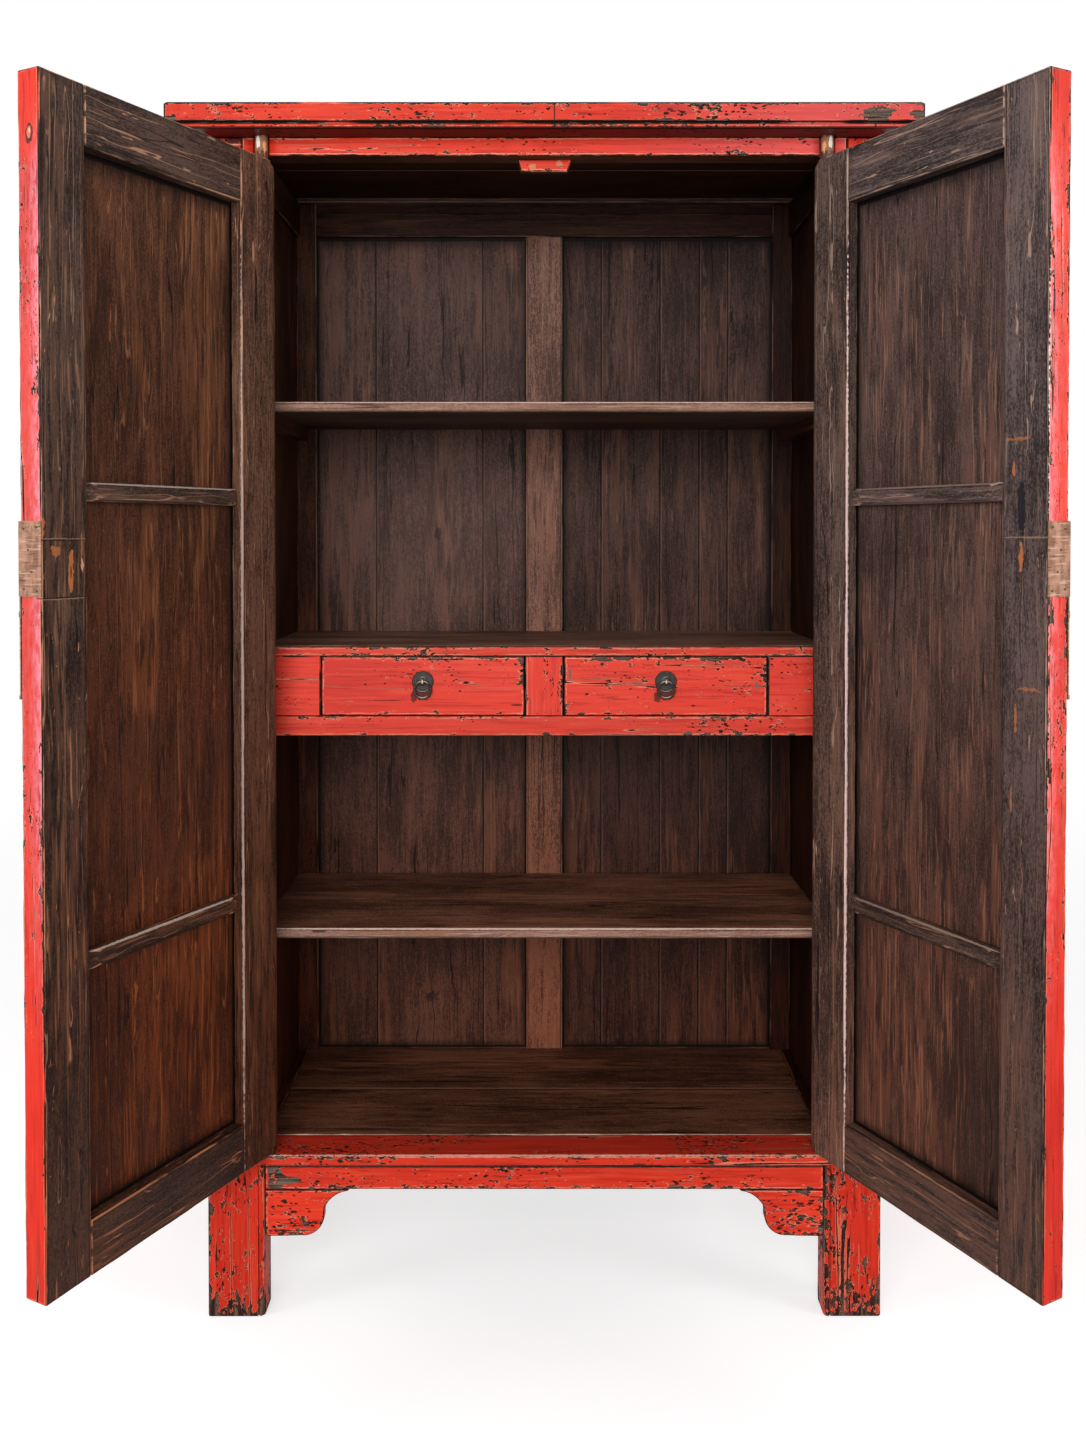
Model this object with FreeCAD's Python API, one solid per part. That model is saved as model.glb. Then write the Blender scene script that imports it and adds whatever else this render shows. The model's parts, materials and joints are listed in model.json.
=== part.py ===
import FreeCAD
import Part
import math
import os

Vector = FreeCAD.Vector

# The floor is z = 0, the front of the front posts is y = 0, and x = 0 is the middle.
# Pieces are drawn on the left, and the right ones are their mirror images.

# Case
overall_height = 1797.0
case_width = 1008.0
case_depth = 420.0

# Fits
fit_gap = 0.3  # round tenons, tongues and boards in their grooves
overrun = 6.0  # how far a cut passes the face that it opens
groove_depth = 8.0
tenon_length = 26.0
tenon_thickness = 14.0
tenon_shoulder = 9.0
joint_tolerance = 0.0003  # points closer than this are one point

# Posts
post_width = 85.0
post_depth = 43.0
rear_post_width = 99.0
rear_post_depth = 50.0
post_arris = 3.0
bead_width = 8.0
quirk_width = 2.0
quirk_depth = 2.5
post_tenon_height = 18.0
post_tenon_inset = 12.0

# Cornice: a mitred frame with a moulded edge, and boards in its groove
cornice_height = 37.0
cornice_overhang = 45.0
cornice_member_width = 85.0
cornice_rear_width = 60.0
fascia_height = 27.5
fascia_round = 4.0
cornice_quirk_height = 2.2
cornice_quirk_depth = 7.0
cornice_bead_setback = 3.5
mitre_tenon_width = 22.0
mitre_tenon_length = 18.0
mitre_tenon_thickness = 11.0
top_board_thickness = 14.0
top_board_lift = 8.0
board_joint_share = 0.48  # where the boards of a shelf meet, from front to back

# Front rails
head_rail_height = 27.0
head_rail_depth = 40.0
head_lap_length = 28.0
head_lap_depth = 20.0
rail_round = 2.5
sill_top = 250.0
sill_nose_height = 16.0
sill_nose_reach = 12.0
sill_lap_length = 18.0
sill_lap_depth = 13.0
sill_body_height = 44.0
sill_depth = 53.0
sill_lip = 10.0
nose_round = 4.0

# Apron and its brackets
apron_height = 43.0
apron_thickness = 16.0
apron_setback = 3.0
bracket_width = 126.5
bracket_height = 71.5
bracket_nib = 3.0
# Points on a bracket's edge, as shares of its width from the tip and of its height from the top
bracket_hollow_middle_shares = (0.19, 0.16)
bracket_hollow_end_shares = (0.295, 0.39)
bracket_swell_start_shares = (0.30, 0.50)
bracket_swell_middle_shares = (0.365, 0.84)
bracket_swell_end_shares = (0.56, 0.98)

# Stop behind the head rail, which both doors shut against
stop_width = 80.0
stop_drop = 18.0
stop_thickness = 18.0
stop_taper = 5.0
stop_round = 4.0
stop_gap = 1.0
stop_tenon_width = 36.0
stop_tenon_thickness = 9.0
stop_tenon_height = 14.0

# Sides and back
side_inner_share = 0.875  # of the half width, to the inner face of a side
side_panel_thickness = 24.0
side_rail_setback = 4.0
side_top_rail_height = 60.0
side_top_rail_cover = 8.0
side_bottom_rail_cover = 25.0
back_rail_depth = 42.0
back_top_rail_height = 58.0
back_rail_rebate_height = 18.0
back_rail_rebate_depth = 10.0
muntin_width = 64.0
muntin_depth = 36.0
back_panel_setback = 10.0
back_panel_thickness = 16.0
left_back_joint_shares = (0.29, 0.78)
right_back_joint_shares = (0.22, 0.35, 0.53, 0.80)

# Shelves
shelf_setback = 57.0
floor_thickness = 14.0
shelf_thickness = 16.0
upper_shelf_top = 1376.0
lower_shelf_top = 567.5
shelf_edge_round = 2.5
runner_width = 20.0
runner_height = 20.0

# Drawer case
drawer_case_top = 1001.0
drawer_top_rail_height = 14.0
drawer_top_rail_depth = 22.0
drawer_bottom_rail_height = 30.0
drawer_bottom_rail_depth = 30.0
drawer_opening_height = 92.5
drawer_opening_width = 314.5
divider_width = 58.0
case_stile_depth = 20.0
case_stile_housing = 4.0
guide_thickness = 18.0
guide_height = 30.0
dust_board_thickness = 14.0
rail_housing = 6.0

# Drawers
drawer_side_gap = 2.2
drawer_top_gap = 1.3
drawer_bottom_gap = 1.6
drawer_run_gap = 0.4
drawer_front_thickness = 18.0
drawer_rear_gap = 30.0  # free room behind a drawer that is pushed in
drawer_side_thickness = 11.0
drawer_side_height = 80.0
drawer_back_height = 66.0
drawer_bottom_thickness = 6.0
drawer_bottom_lift = 6.0
drawer_groove_depth = 5.0
tail_count = 3
tail_length = 11.0
tail_root_share = 0.42  # of the pitch, at the shoulder
tail_end_share = 0.66  # of the pitch, at the end of the tail

# Drawer pulls
pull_plate_radius = 16.5
pull_plate_thickness = 1.4
pull_rim_height = 0.9
pull_dome_radius = 8.0
pull_dome_height = 1.2
pull_dome_shoulder_share = 0.78  # of the dome's height, half way out
pull_height_offset = 7.0
pull_eye_wire = 1.4
pull_eye_gap = 0.7
pull_shank_radius = 1.6
ring_radius = 12.5
ring_wire = 2.0

# Doors
open_angle = 117.5
door_thickness = 36.0
pivot_inset = 1.3
pivot_radius = 9.5
pivot_gap = 0.6
pivot_end_round = 2.5
top_pivot_reach = 15.0
bottom_pivot_length = 8.0
head_lift = 9.0
door_floor_gap = 2.0
meeting_gap = 3.0
heel_round = 12.0
cove_gap = 4.0
notch_gap = 2.5
hinge_stile_width = 65.0
lock_stile_width = 69.0
door_top_rail_height = 76.0
door_bottom_rail_height = 70.0
door_tenon_length = 34.0
door_tenon_thickness = 11.0
door_panel_thickness = 14.0
door_panel_recess = 2.0
batten_height = 24.0
batten_proud = 14.0
batten_end_drop = 6.0
batten_end_length = 22.0
batten_chamfer = 3.0
batten_housing = 6.0
dovetail_depth = 5.0
dovetail_neck = 14.0
dovetail_root = 18.0
upper_batten_level = 1226.5
lower_batten_level = 643.0

# Lock plates on the doors, and their lugs
lock_plate_radius = 101.0
lock_plate_thickness = 2.0
lock_plate_rim_width = 5.0
lock_plate_rim_height = 1.2
lock_plate_level = 1077.0
edge_tab_bottom = 1099.5
edge_tab_top = 1189.5
edge_tab_thickness = 0.9
lug_inset = 12.0
lug_thickness = 7.0
lug_width = 18.0
lug_reach = 18.0
lug_hole_radius = 4.5

# Places that follow from the sizes
half_width = case_width / 2
post_inner = half_width - post_width
rear_post_inner = half_width - rear_post_width
rear_face = case_depth - rear_post_depth
post_top = overall_height - cornice_height
head_rail_bottom = post_top - head_rail_height
sill_nose_bottom = sill_top - sill_nose_height
sill_bottom = sill_top - sill_body_height
sill_body_front = apron_setback + apron_thickness
apron_bottom = sill_nose_bottom - apron_height
side_inner = half_width * side_inner_share
side_panel_outer = side_inner + side_panel_thickness
side_rail_outer = half_width - side_rail_setback
side_top_rail_inner = side_inner - side_top_rail_cover
side_bottom_rail_inner = side_inner - side_bottom_rail_cover
side_top_rail_bottom = post_top - side_top_rail_height
back_rail_rear = rear_face + back_rail_depth
back_top_rail_bottom = post_top - back_top_rail_height
back_panel_front = rear_face + back_panel_setback
back_panel_rear = back_panel_front + back_panel_thickness
half_muntin = muntin_width / 2

cornice_outer = half_width + cornice_overhang
cornice_inner = cornice_outer - cornice_member_width
cornice_front_inner = cornice_member_width - cornice_overhang
cornice_rear_inner = case_depth - cornice_rear_width
top_board_bottom = post_top + top_board_lift

pivot_x = post_inner - pivot_inset
heel_radius = door_thickness / 2
door_leaf = pivot_x - meeting_gap / 2
door_bottom = sill_top + door_floor_gap
door_top = head_rail_bottom - head_lift
lock_stile_start = door_leaf - lock_stile_width
pivot_hole_radius = pivot_radius + pivot_gap
top_socket_depth = top_pivot_reach + head_lift + fit_gap
bottom_socket_depth = bottom_pivot_length + fit_gap

drawer_opening_top = drawer_case_top - drawer_top_rail_height
drawer_opening_bottom = drawer_opening_top - drawer_opening_height
drawer_rail_bottom = drawer_opening_bottom - drawer_bottom_rail_height
drawer_opening_inner = divider_width / 2
drawer_opening_outer = drawer_opening_inner + drawer_opening_width
drawer_middle = (drawer_opening_inner + drawer_opening_outer) / 2
drawer_front_width = drawer_opening_width - 2 * drawer_side_gap
drawer_front_bottom = drawer_opening_bottom + drawer_bottom_gap
drawer_front_top = drawer_opening_top - drawer_top_gap
drawer_front_back = shelf_setback + drawer_front_thickness
drawer_rear = rear_face - drawer_rear_gap
drawer_side_bottom = drawer_opening_bottom + drawer_run_gap
drawer_side_top = drawer_side_bottom + drawer_side_height
drawer_inner_half = drawer_front_width / 2 - drawer_side_thickness
drawer_bottom_level = drawer_side_bottom + drawer_bottom_lift
pull_level = (drawer_front_bottom + drawer_front_top) / 2 + pull_height_offset
pull_plate_front = shelf_setback - pull_plate_thickness
eye_radius = ring_wire + pull_eye_gap + pull_eye_wire  # to the middle of the eye's wire
ring_plane = pull_plate_front - eye_radius

# The origin is under the middle of the whole, with the doors open
turn = math.radians(open_angle)
door_reach = door_leaf * math.sin(turn) - heel_radius * math.cos(turn)
middle_depth = (case_depth - door_reach) / 2


def block(x0, x1, y0, y1, z0, z1):
    corner = Vector(min(x0, x1), min(y0, y1), min(z0, z1))
    return Part.makeBox(abs(x1 - x0), abs(y1 - y0), abs(z1 - z0), corner)


def grown(limits, gap=fit_gap):
    """The room for a block with these limits."""
    low, high = limits[0::2], limits[1::2]
    near = [min(a, b) - gap for a, b in zip(low, high)]
    far = [max(a, b) + gap for a, b in zip(low, high)]
    return block(near[0], far[0], near[1], far[1], near[2], far[2])


def groove(limits):
    """The room for a board that rests on the lower side of its groove."""
    lifted = list(limits)
    lifted[4] = limits[4] + fit_gap
    return grown(lifted)


def cylinder(radius, start, end):
    way = end - start
    return Part.makeCylinder(radius, way.Length, start, way)


def flat(outline):
    """A face from an outline of points, with an arc where three points stand in a tuple."""
    steps = [step if isinstance(step, tuple) else (step,) for step in outline]
    edges = []
    here = steps[-1][-1]
    for points in steps:
        if not points[0].isEqual(here, joint_tolerance):
            edges.append(Part.LineSegment(here, points[0]).toShape())
        if len(points) > 1:
            edges.append(Part.Arc(*points).toShape())
        here = points[-1]
    return Part.Face(Part.Wire(edges))


def prism(outline, way):
    return flat(outline).extrude(way)


def round_corner(corner, before, after, radius):
    """The arc that rounds a right-angled corner, as three points."""
    start = corner + (before - corner).normalize() * radius
    end = corner + (after - corner).normalize() * radius
    centre = start + end - corner
    middle = centre + (corner - centre).normalize() * radius
    return start, middle, end


def mirrored(shape):
    return shape.mirror(Vector(0, 0, 0), Vector(1, 0, 0))


def side_rail_tenons(top, bottom):
    """The tenons of a left side rail, into the front and the rear post."""
    x0 = -side_rail_outer + tenon_shoulder
    x1 = x0 + tenon_thickness
    z0, z1 = bottom + tenon_shoulder, top - tenon_shoulder
    front = (x0, x1, post_depth - tenon_length, post_depth, z0, z1)
    rear = (x0, x1, rear_face, rear_face + tenon_length, z0, z1)
    return front, rear


def back_rail_tenon(top, bottom):
    """The left tenon of a rail in the back frame."""
    y1 = back_rail_rear - tenon_shoulder
    start = -rear_post_inner - tenon_length
    return start, -rear_post_inner, y1 - tenon_thickness, y1, bottom + tenon_shoulder, top - tenon_shoulder


def sill_tenon():
    y0 = sill_body_front + fit_gap
    y1 = y0 + tenon_thickness
    z0 = sill_bottom + tenon_shoulder
    return -post_inner - tenon_length, -post_inner, y0, y1, z0, sill_nose_bottom


def post_tenon(front, rear, inner):
    """The tenon on top of a left post, into the cornice."""
    x0 = -half_width + post_tenon_inset
    x1 = -inner - post_tenon_inset - bead_width
    return x0, x1, front, rear, post_top, post_top + post_tenon_height


def front_post_tenon():
    return post_tenon(post_tenon_inset, post_depth - post_tenon_inset, post_inner)


def rear_post_tenon():
    return post_tenon(rear_face + post_tenon_inset, case_depth - post_tenon_inset, rear_post_inner)


def side_panel_limits():
    y0, y1 = post_depth - groove_depth, rear_face + groove_depth
    z0, z1 = sill_top - groove_depth, side_top_rail_bottom + groove_depth
    return -side_panel_outer, -side_inner, y0, y1, z0, z1


def sill_lap():
    """The end of the sill's nose, which is let into the left post."""
    return -post_inner - sill_lap_length, -post_inner, 0, sill_lap_depth, sill_nose_bottom, sill_top


def head_lap():
    return -post_inner - head_lap_length, -post_inner, 0, head_lap_depth, head_rail_bottom, post_top


def front_post():
    outer, inner = -half_width, -post_inner
    bead = inner - bead_width
    quirk = bead - quirk_width
    corner = Vector(outer, 0, 0)
    arris = round_corner(corner, Vector(outer, post_depth, 0), Vector(inner, 0, 0), post_arris)
    lean = bead_width * math.sqrt(0.5)
    middle = Vector(bead + lean, bead_width - lean, 0)
    outline = [
        arris,
        Vector(quirk, 0, 0),
        Vector(quirk, quirk_depth, 0),
        Vector(bead, quirk_depth, 0),
        (Vector(bead, 0, 0), middle, Vector(inner, bead_width, 0)),
        Vector(inner, post_depth, 0),
        Vector(outer, post_depth, 0),
    ]
    post = prism(outline, Vector(0, 0, post_top))
    post = post.fuse(block(*front_post_tenon()))
    axis = Vector(-pivot_x, 0, 0)
    low, high = axis + Vector(0, 0, sill_top), axis + Vector(0, 0, head_rail_bottom)
    cove = cylinder(heel_radius + cove_gap, low, high)
    cuts = [cove, grown(head_lap(), 0), grown(sill_lap(), 0), grown(sill_tenon()), groove(side_panel_limits())]
    cuts.append(grown(side_rail_tenons(post_top, side_top_rail_bottom)[0]))
    cuts.append(grown(side_rail_tenons(sill_top, sill_bottom)[0]))
    return post.cut(cuts)


def back_panel_limits():
    """The left half of the back, between the rear post and the muntin."""
    x0, x1 = -rear_post_inner - groove_depth, -half_muntin + groove_depth
    z0, z1 = sill_top - groove_depth, back_top_rail_bottom + groove_depth
    return x0, x1, back_panel_front, back_panel_rear, z0, z1


def rear_post():
    post = block(-half_width, -rear_post_inner, rear_face, case_depth, 0, post_top)
    post = post.fuse(block(*rear_post_tenon()))
    cuts = [groove(side_panel_limits()), groove(back_panel_limits())]
    cuts.append(grown(side_rail_tenons(post_top, side_top_rail_bottom)[1]))
    cuts.append(grown(side_rail_tenons(sill_top, sill_bottom)[1]))
    cuts.append(grown(back_rail_tenon(post_top, back_top_rail_bottom)))
    cuts.append(grown(back_rail_tenon(sill_top, sill_bottom)))
    return post.cut(cuts)


def cornice_profile(place):
    """The moulded edge. place turns a distance in from the outer face, and a height, into a point."""
    top, bottom = overall_height, post_top
    fascia_bottom = top - fascia_height
    bead_top = fascia_bottom - cornice_quirk_height
    bead_radius = (bead_top - bottom) / 2
    bead_middle = cornice_bead_setback + bead_radius
    bead = place(bead_middle, bead_top), place(cornice_bead_setback, bottom + bead_radius), place(bead_middle, bottom)
    arris = round_corner(place(0, top), place(cornice_member_width, top), place(0, bottom), fascia_round)
    return [
        arris,
        place(0, fascia_bottom),
        place(cornice_quirk_depth, fascia_bottom),
        place(cornice_quirk_depth, bead_top),
        bead,
        place(cornice_member_width, bottom),
        place(cornice_member_width, top),
    ]


def top_board_room():
    gap = groove_depth
    x = cornice_inner + gap
    y0, y1 = cornice_front_inner - gap, cornice_rear_inner + gap
    return -x, x, y0, y1, top_board_bottom, top_board_bottom + top_board_thickness


def mitre_tenon(y_middle, mitre_x):
    """The left tenon of a long cornice member, across the mitre into the side member."""
    z0 = overall_height - fascia_height
    half = mitre_tenon_width / 2
    x0, x1 = -mitre_x - mitre_tenon_length, -mitre_x + mitre_tenon_width
    return x0, x1, y_middle - half, y_middle + half, z0, z0 + mitre_tenon_thickness


def front_mitre_tenon():
    middle = cornice_front_inner - cornice_member_width / 2
    return mitre_tenon(middle, (cornice_outer + cornice_inner) / 2)


def rear_mitre_tenon():
    middle = case_depth - cornice_rear_width / 2
    return mitre_tenon(middle, (cornice_outer + cornice_inner) / 2)


def pivot_sockets():
    bottom = Vector(-pivot_x, 0, post_top - overrun)
    hole = cylinder(pivot_hole_radius, bottom, Vector(-pivot_x, 0, post_top + top_socket_depth))
    return [hole, mirrored(hole)]


def plan(points):
    """The room of one cornice member, seen from above."""
    outline = [Vector(x, y, post_top) for x, y in points]
    return prism(outline, Vector(0, 0, cornice_height))


def cornice_front():
    start = Vector(-cornice_outer, -cornice_overhang, 0)
    place = lambda depth, height: start + Vector(0, depth, height)
    member = prism(cornice_profile(place), Vector(2 * cornice_outer, 0, 0))
    front, inner = -cornice_overhang, cornice_front_inner
    points = [(-cornice_outer, front), (cornice_outer, front), (cornice_inner, inner), (-cornice_inner, inner)]
    tenon = block(*front_mitre_tenon())
    post_hole = grown(front_post_tenon())
    member = member.common(plan(points)).fuse([tenon, mirrored(tenon)])
    return member.cut([groove(top_board_room()), post_hole, mirrored(post_hole)] + pivot_sockets())


def cornice_rear():
    outer, inner = case_depth, cornice_rear_inner
    points = [(-cornice_outer, outer), (cornice_outer, outer), (cornice_inner, inner), (-cornice_inner, inner)]
    tenon = block(*rear_mitre_tenon())
    post_hole = grown(rear_post_tenon())
    member = plan(points).fuse([tenon, mirrored(tenon)])
    return member.cut([groove(top_board_room()), post_hole, mirrored(post_hole)])


def cornice_side():
    start = Vector(-cornice_outer, -cornice_overhang, 0)
    place = lambda depth, height: start + Vector(depth, 0, height)
    member = prism(cornice_profile(place), Vector(0, case_depth + cornice_overhang, 0))
    points = [
        (-cornice_outer, -cornice_overhang),
        (-cornice_inner, cornice_front_inner),
        (-cornice_inner, cornice_rear_inner),
        (-cornice_outer, case_depth),
    ]
    cuts = [groove(top_board_room()), grown(front_post_tenon()), grown(rear_post_tenon())]
    cuts += [grown(front_mitre_tenon()), grown(rear_mitre_tenon())]
    return member.common(plan(points)).cut(cuts)


def split_boards(limits, joints, along):
    """Boards edge to edge. joints are shares of the whole width; along is 0 for x, 1 for y."""
    spots = list(limits)
    low, high = spots[2 * along], spots[2 * along + 1]
    edges = [low] + [low + (high - low) * share for share in joints] + [high]
    boards = []
    for start, end in zip(edges, edges[1:]):
        spots[2 * along], spots[2 * along + 1] = start, end
        boards.append(block(*spots))
    return boards


def top_boards():
    return Part.makeCompound(split_boards(top_board_room(), [board_joint_share], 1))


def rounded_rail(half_length, front, rear, bottom, top, radius):
    """A rail along x whose front arrises are rounded."""
    def place(y, z):
        return Vector(-half_length, y, z)

    low = round_corner(place(front, bottom), place(rear, bottom), place(front, top), radius)
    high = round_corner(place(front, top), place(front, bottom), place(rear, top), radius)
    outline = [low, high, place(rear, top), place(rear, bottom)]
    return prism(outline, Vector(2 * half_length, 0, 0))


def head_rail():
    """The rail over the doors. Its ends lap the posts, and notches let the pivots through."""
    half = post_inner + head_lap_length
    lap = rounded_rail(half, 0, head_lap_depth, head_rail_bottom, post_top, rail_round)
    rail = lap.fuse(block(-post_inner, post_inner, rail_round, head_rail_depth, head_rail_bottom, post_top))
    room = pivot_radius + notch_gap
    low, high = head_rail_bottom - overrun, post_top + overrun
    notch = cylinder(room, Vector(-pivot_x, 0, low), Vector(-pivot_x, 0, high))
    notch = notch.fuse(block(-pivot_x - room, -pivot_x + room, -overrun, 0, low, high))
    return rail.cut([notch, mirrored(notch), grown(stop_tenon())])


def stop_tenon():
    y0 = heel_radius + stop_gap + (stop_thickness - stop_tenon_thickness) / 2
    half = stop_tenon_width / 2
    top = head_rail_bottom + stop_tenon_height
    return -half, half, y0, y0 + stop_tenon_thickness, head_rail_bottom, top


def door_stop_block():
    top, bottom = head_rail_bottom, head_rail_bottom - stop_drop
    front = heel_radius + stop_gap
    half = stop_width / 2

    def place(x, z):
        return Vector(x, front, z)

    low = half - stop_taper
    corners = [place(-half, top), place(-low, bottom), place(low, bottom), place(half, top)]
    body = prism(corners, Vector(0, stop_thickness, 0))
    edges = [e for e in body.Edges if e.BoundBox.ZMax < bottom + fit_gap and e.BoundBox.XLength > stop_taper]
    return body.makeFillet(stop_round, edges).fuse(block(*stop_tenon()))


def sill_rail():
    """The rail under the doors, with a nose that carries the lower pivots."""
    half = post_inner + sill_lap_length
    nose = rounded_rail(half, -sill_nose_reach, 0, sill_nose_bottom, sill_top, nose_round)
    lap = block(-half, half, 0, sill_lap_depth, sill_nose_bottom, sill_top)
    board = block(-post_inner, post_inner, sill_lap_depth, sill_depth, sill_nose_bottom, sill_top)
    body = block(-post_inner, post_inner, sill_body_front, sill_depth, sill_bottom, sill_nose_bottom)
    lip_top = sill_top - floor_thickness
    lip = block(-post_inner, post_inner, sill_depth, sill_depth + sill_lip, sill_bottom, lip_top)
    tenon = block(*sill_tenon())
    rail = nose.fuse([lap, board, body, lip, tenon, mirrored(tenon)])
    axis = Vector(-pivot_x, 0, sill_top + overrun)
    socket = cylinder(pivot_hole_radius, axis, Vector(-pivot_x, 0, sill_top - bottom_socket_depth))
    return rail.cut([socket, mirrored(socket)]).removeSplitter()


def apron():
    y0, y1 = apron_setback, apron_setback + apron_thickness
    return block(-post_inner, post_inner, y0, y1, apron_bottom, sill_nose_bottom)


def apron_bracket():
    """The left bracket: a hollow under its tip, then a swelling round down to its flat foot."""
    tip, top = -post_inner + bracket_width, apron_bottom
    across, down = bracket_width, bracket_height

    def place(shares):
        return Vector(tip - across * shares[0], apron_setback, top - down * shares[1])

    nib = Vector(tip - bracket_nib, apron_setback, top - bracket_nib)
    hollow = nib, place(bracket_hollow_middle_shares), place(bracket_hollow_end_shares)
    swell_shares = (bracket_swell_start_shares, bracket_swell_middle_shares, bracket_swell_end_shares)
    swell = tuple(place(shares) for shares in swell_shares)
    outline = [
        Vector(-post_inner, apron_setback, top),
        Vector(tip, apron_setback, top),
        hollow,
        swell,
        Vector(-post_inner, apron_setback, top - down),
    ]
    return prism(outline, Vector(0, apron_thickness, 0))


def side_rail(top, bottom, inner):
    front, rear = side_rail_tenons(top, bottom)
    rail = block(-side_rail_outer, -inner, post_depth, rear_face, bottom, top)
    return rail.fuse([block(*front), block(*rear)]).cut(groove(side_panel_limits()))


def side_bottom_rail():
    rail = side_rail(sill_top, sill_bottom, side_bottom_rail_inner)
    low, high = sill_bottom - overrun, sill_top + overrun
    sill_room = block(-post_inner, 0, post_depth, sill_depth + sill_lip, low, high)
    return rail.cut([sill_room, floor_room()])


def floor_room():
    """The rebate for the floor boards, in the rails round them."""
    return block(-floor_half(), floor_half(), sill_depth, rear_face + groove_depth, sill_top - floor_thickness, sill_top)


def floor_half():
    return side_bottom_rail_inner + groove_depth


def floor_boards():
    x, z0 = floor_half(), sill_top - floor_thickness
    limits = (-x, x, sill_depth, rear_face + groove_depth, z0, sill_top)
    front, rear = split_boards(limits, [board_joint_share], 1)
    corner = block(-x, -rear_post_inner, rear_face, rear_face + groove_depth, z0, sill_top)
    return Part.makeCompound([front, rear.cut([corner, mirrored(corner)])])


def back_rail(top, bottom):
    tenon = block(*back_rail_tenon(top, bottom))
    rail = block(-rear_post_inner, rear_post_inner, rear_face, back_rail_rear, bottom, top)
    panel_room = groove(back_panel_limits())
    cuts = [panel_room, mirrored(panel_room), grown(muntin_tenon(1)), grown(muntin_tenon(-1))]
    return rail.fuse([tenon, mirrored(tenon)]).cut(cuts)


def back_top_rail():
    rail = back_rail(post_top, back_top_rail_bottom)
    z0 = post_top - back_rail_rebate_height
    x = rear_post_inner
    return rail.cut(block(-x, x, rear_face, rear_face + back_rail_rebate_depth, z0, post_top))


def back_bottom_rail():
    return back_rail(sill_top, sill_bottom).cut(floor_room())


def muntin_tenon(end):
    """The muntin's upper tenon where end is 1, and its lower one where it is -1."""
    half = half_muntin - tenon_shoulder
    y0 = back_panel_rear + fit_gap
    y1 = rear_face + muntin_depth
    if end > 0:
        return -half, half, y0, y1, back_top_rail_bottom, back_top_rail_bottom + tenon_length
    return -half, half, y0, y1, sill_top - tenon_length, sill_top


def back_muntin():
    bar = block(-half_muntin, half_muntin, rear_face, rear_face + muntin_depth, sill_top, back_top_rail_bottom)
    bar = bar.fuse([block(*muntin_tenon(1)), block(*muntin_tenon(-1))])
    panel_room = groove(back_panel_limits())
    return bar.cut([panel_room, mirrored(panel_room)])


def back_panel(joints):
    return Part.makeCompound(split_boards(back_panel_limits(), joints, 0))


def shelf(top):
    """Two boards, front and rear. The front one has a rounded edge."""
    split = shelf_setback + (rear_face - shelf_setback) * board_joint_share
    bottom = top - shelf_thickness
    front = rounded_rail(side_inner, shelf_setback, split, bottom, top, shelf_edge_round)
    rear = block(-side_inner, side_inner, split, rear_face, bottom, top)
    return Part.makeCompound([front, rear])


def shelf_runners():
    """Strips on the sides, under both shelves and under the floor of the drawer case."""
    runners = []
    dust_board_bottom = drawer_opening_bottom - dust_board_thickness
    fronts = [
        (upper_shelf_top - shelf_thickness, shelf_setback),
        (dust_board_bottom, shelf_setback + drawer_bottom_rail_depth),
        (lower_shelf_top - shelf_thickness, shelf_setback),
    ]
    for top, front in fronts:
        strip = block(-side_inner, -side_inner + runner_width, front, rear_face, top - runner_height, top)
        runners += [strip, mirrored(strip)]
    return Part.makeCompound(runners)


def case_rail(top, bottom, depth):
    """A rail across the front of the drawer case. Its ends are housed in the sides."""
    half = side_inner + rail_housing
    return rounded_rail(half, shelf_setback, shelf_setback + depth, bottom, top, rail_round)


def drawer_case_rails():
    return (
        (drawer_case_top, drawer_opening_top, drawer_top_rail_depth),
        (drawer_opening_bottom, drawer_rail_bottom, drawer_bottom_rail_depth),
    )


def stile_housing(x0, x1):
    """The tongues of a drawer case stile, into the rails over and under it."""
    y0 = shelf_setback + tenon_shoulder / 2
    y1 = shelf_setback + case_stile_depth - tenon_shoulder / 2
    z0, z1 = drawer_opening_bottom - case_stile_housing, drawer_opening_top + case_stile_housing
    return x0 + tenon_shoulder, x1 - tenon_shoulder, y0, y1, z0, z1


def case_stile_spans():
    half = divider_width / 2
    return (-side_inner, -drawer_opening_outer), (-half, half), (drawer_opening_outer, side_inner)


def case_stile(span):
    x0, x1 = span
    rear = shelf_setback + case_stile_depth
    body = block(x0, x1, shelf_setback, rear, drawer_opening_bottom, drawer_opening_top)
    return body.fuse(block(*stile_housing(x0, x1)))


def drawer_case_rail(which):
    rail = case_rail(*drawer_case_rails()[which])
    return rail.cut([grown(stile_housing(*span)) for span in case_stile_spans()])


def drawer_case_divider():
    """The stile between the drawers, and the guide behind it."""
    half = divider_width / 2
    front = shelf_setback + case_stile_depth
    top = drawer_opening_bottom + guide_height
    guide = block(-half, half, front, rear_face, drawer_opening_bottom, top)
    return Part.makeCompound([case_stile(case_stile_spans()[1]), guide])


def drawer_case_ends():
    """The stiles beside the drawers, and the guides behind them."""
    stile = case_stile(case_stile_spans()[0])
    x = -drawer_opening_outer
    front = shelf_setback + case_stile_depth
    guide = block(x - guide_thickness, x, front, rear_face, drawer_opening_bottom, drawer_opening_top)
    return Part.makeCompound([stile, guide, mirrored(stile), mirrored(guide)])


def drawer_case_board():
    front = shelf_setback + drawer_top_rail_depth
    return block(-side_inner, side_inner, front, rear_face, drawer_opening_top, drawer_case_top)


def drawer_case_floor():
    front = shelf_setback + drawer_bottom_rail_depth
    bottom = drawer_opening_bottom - dust_board_thickness
    return block(-side_inner, side_inner, front, rear_face, bottom, drawer_opening_bottom)


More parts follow.
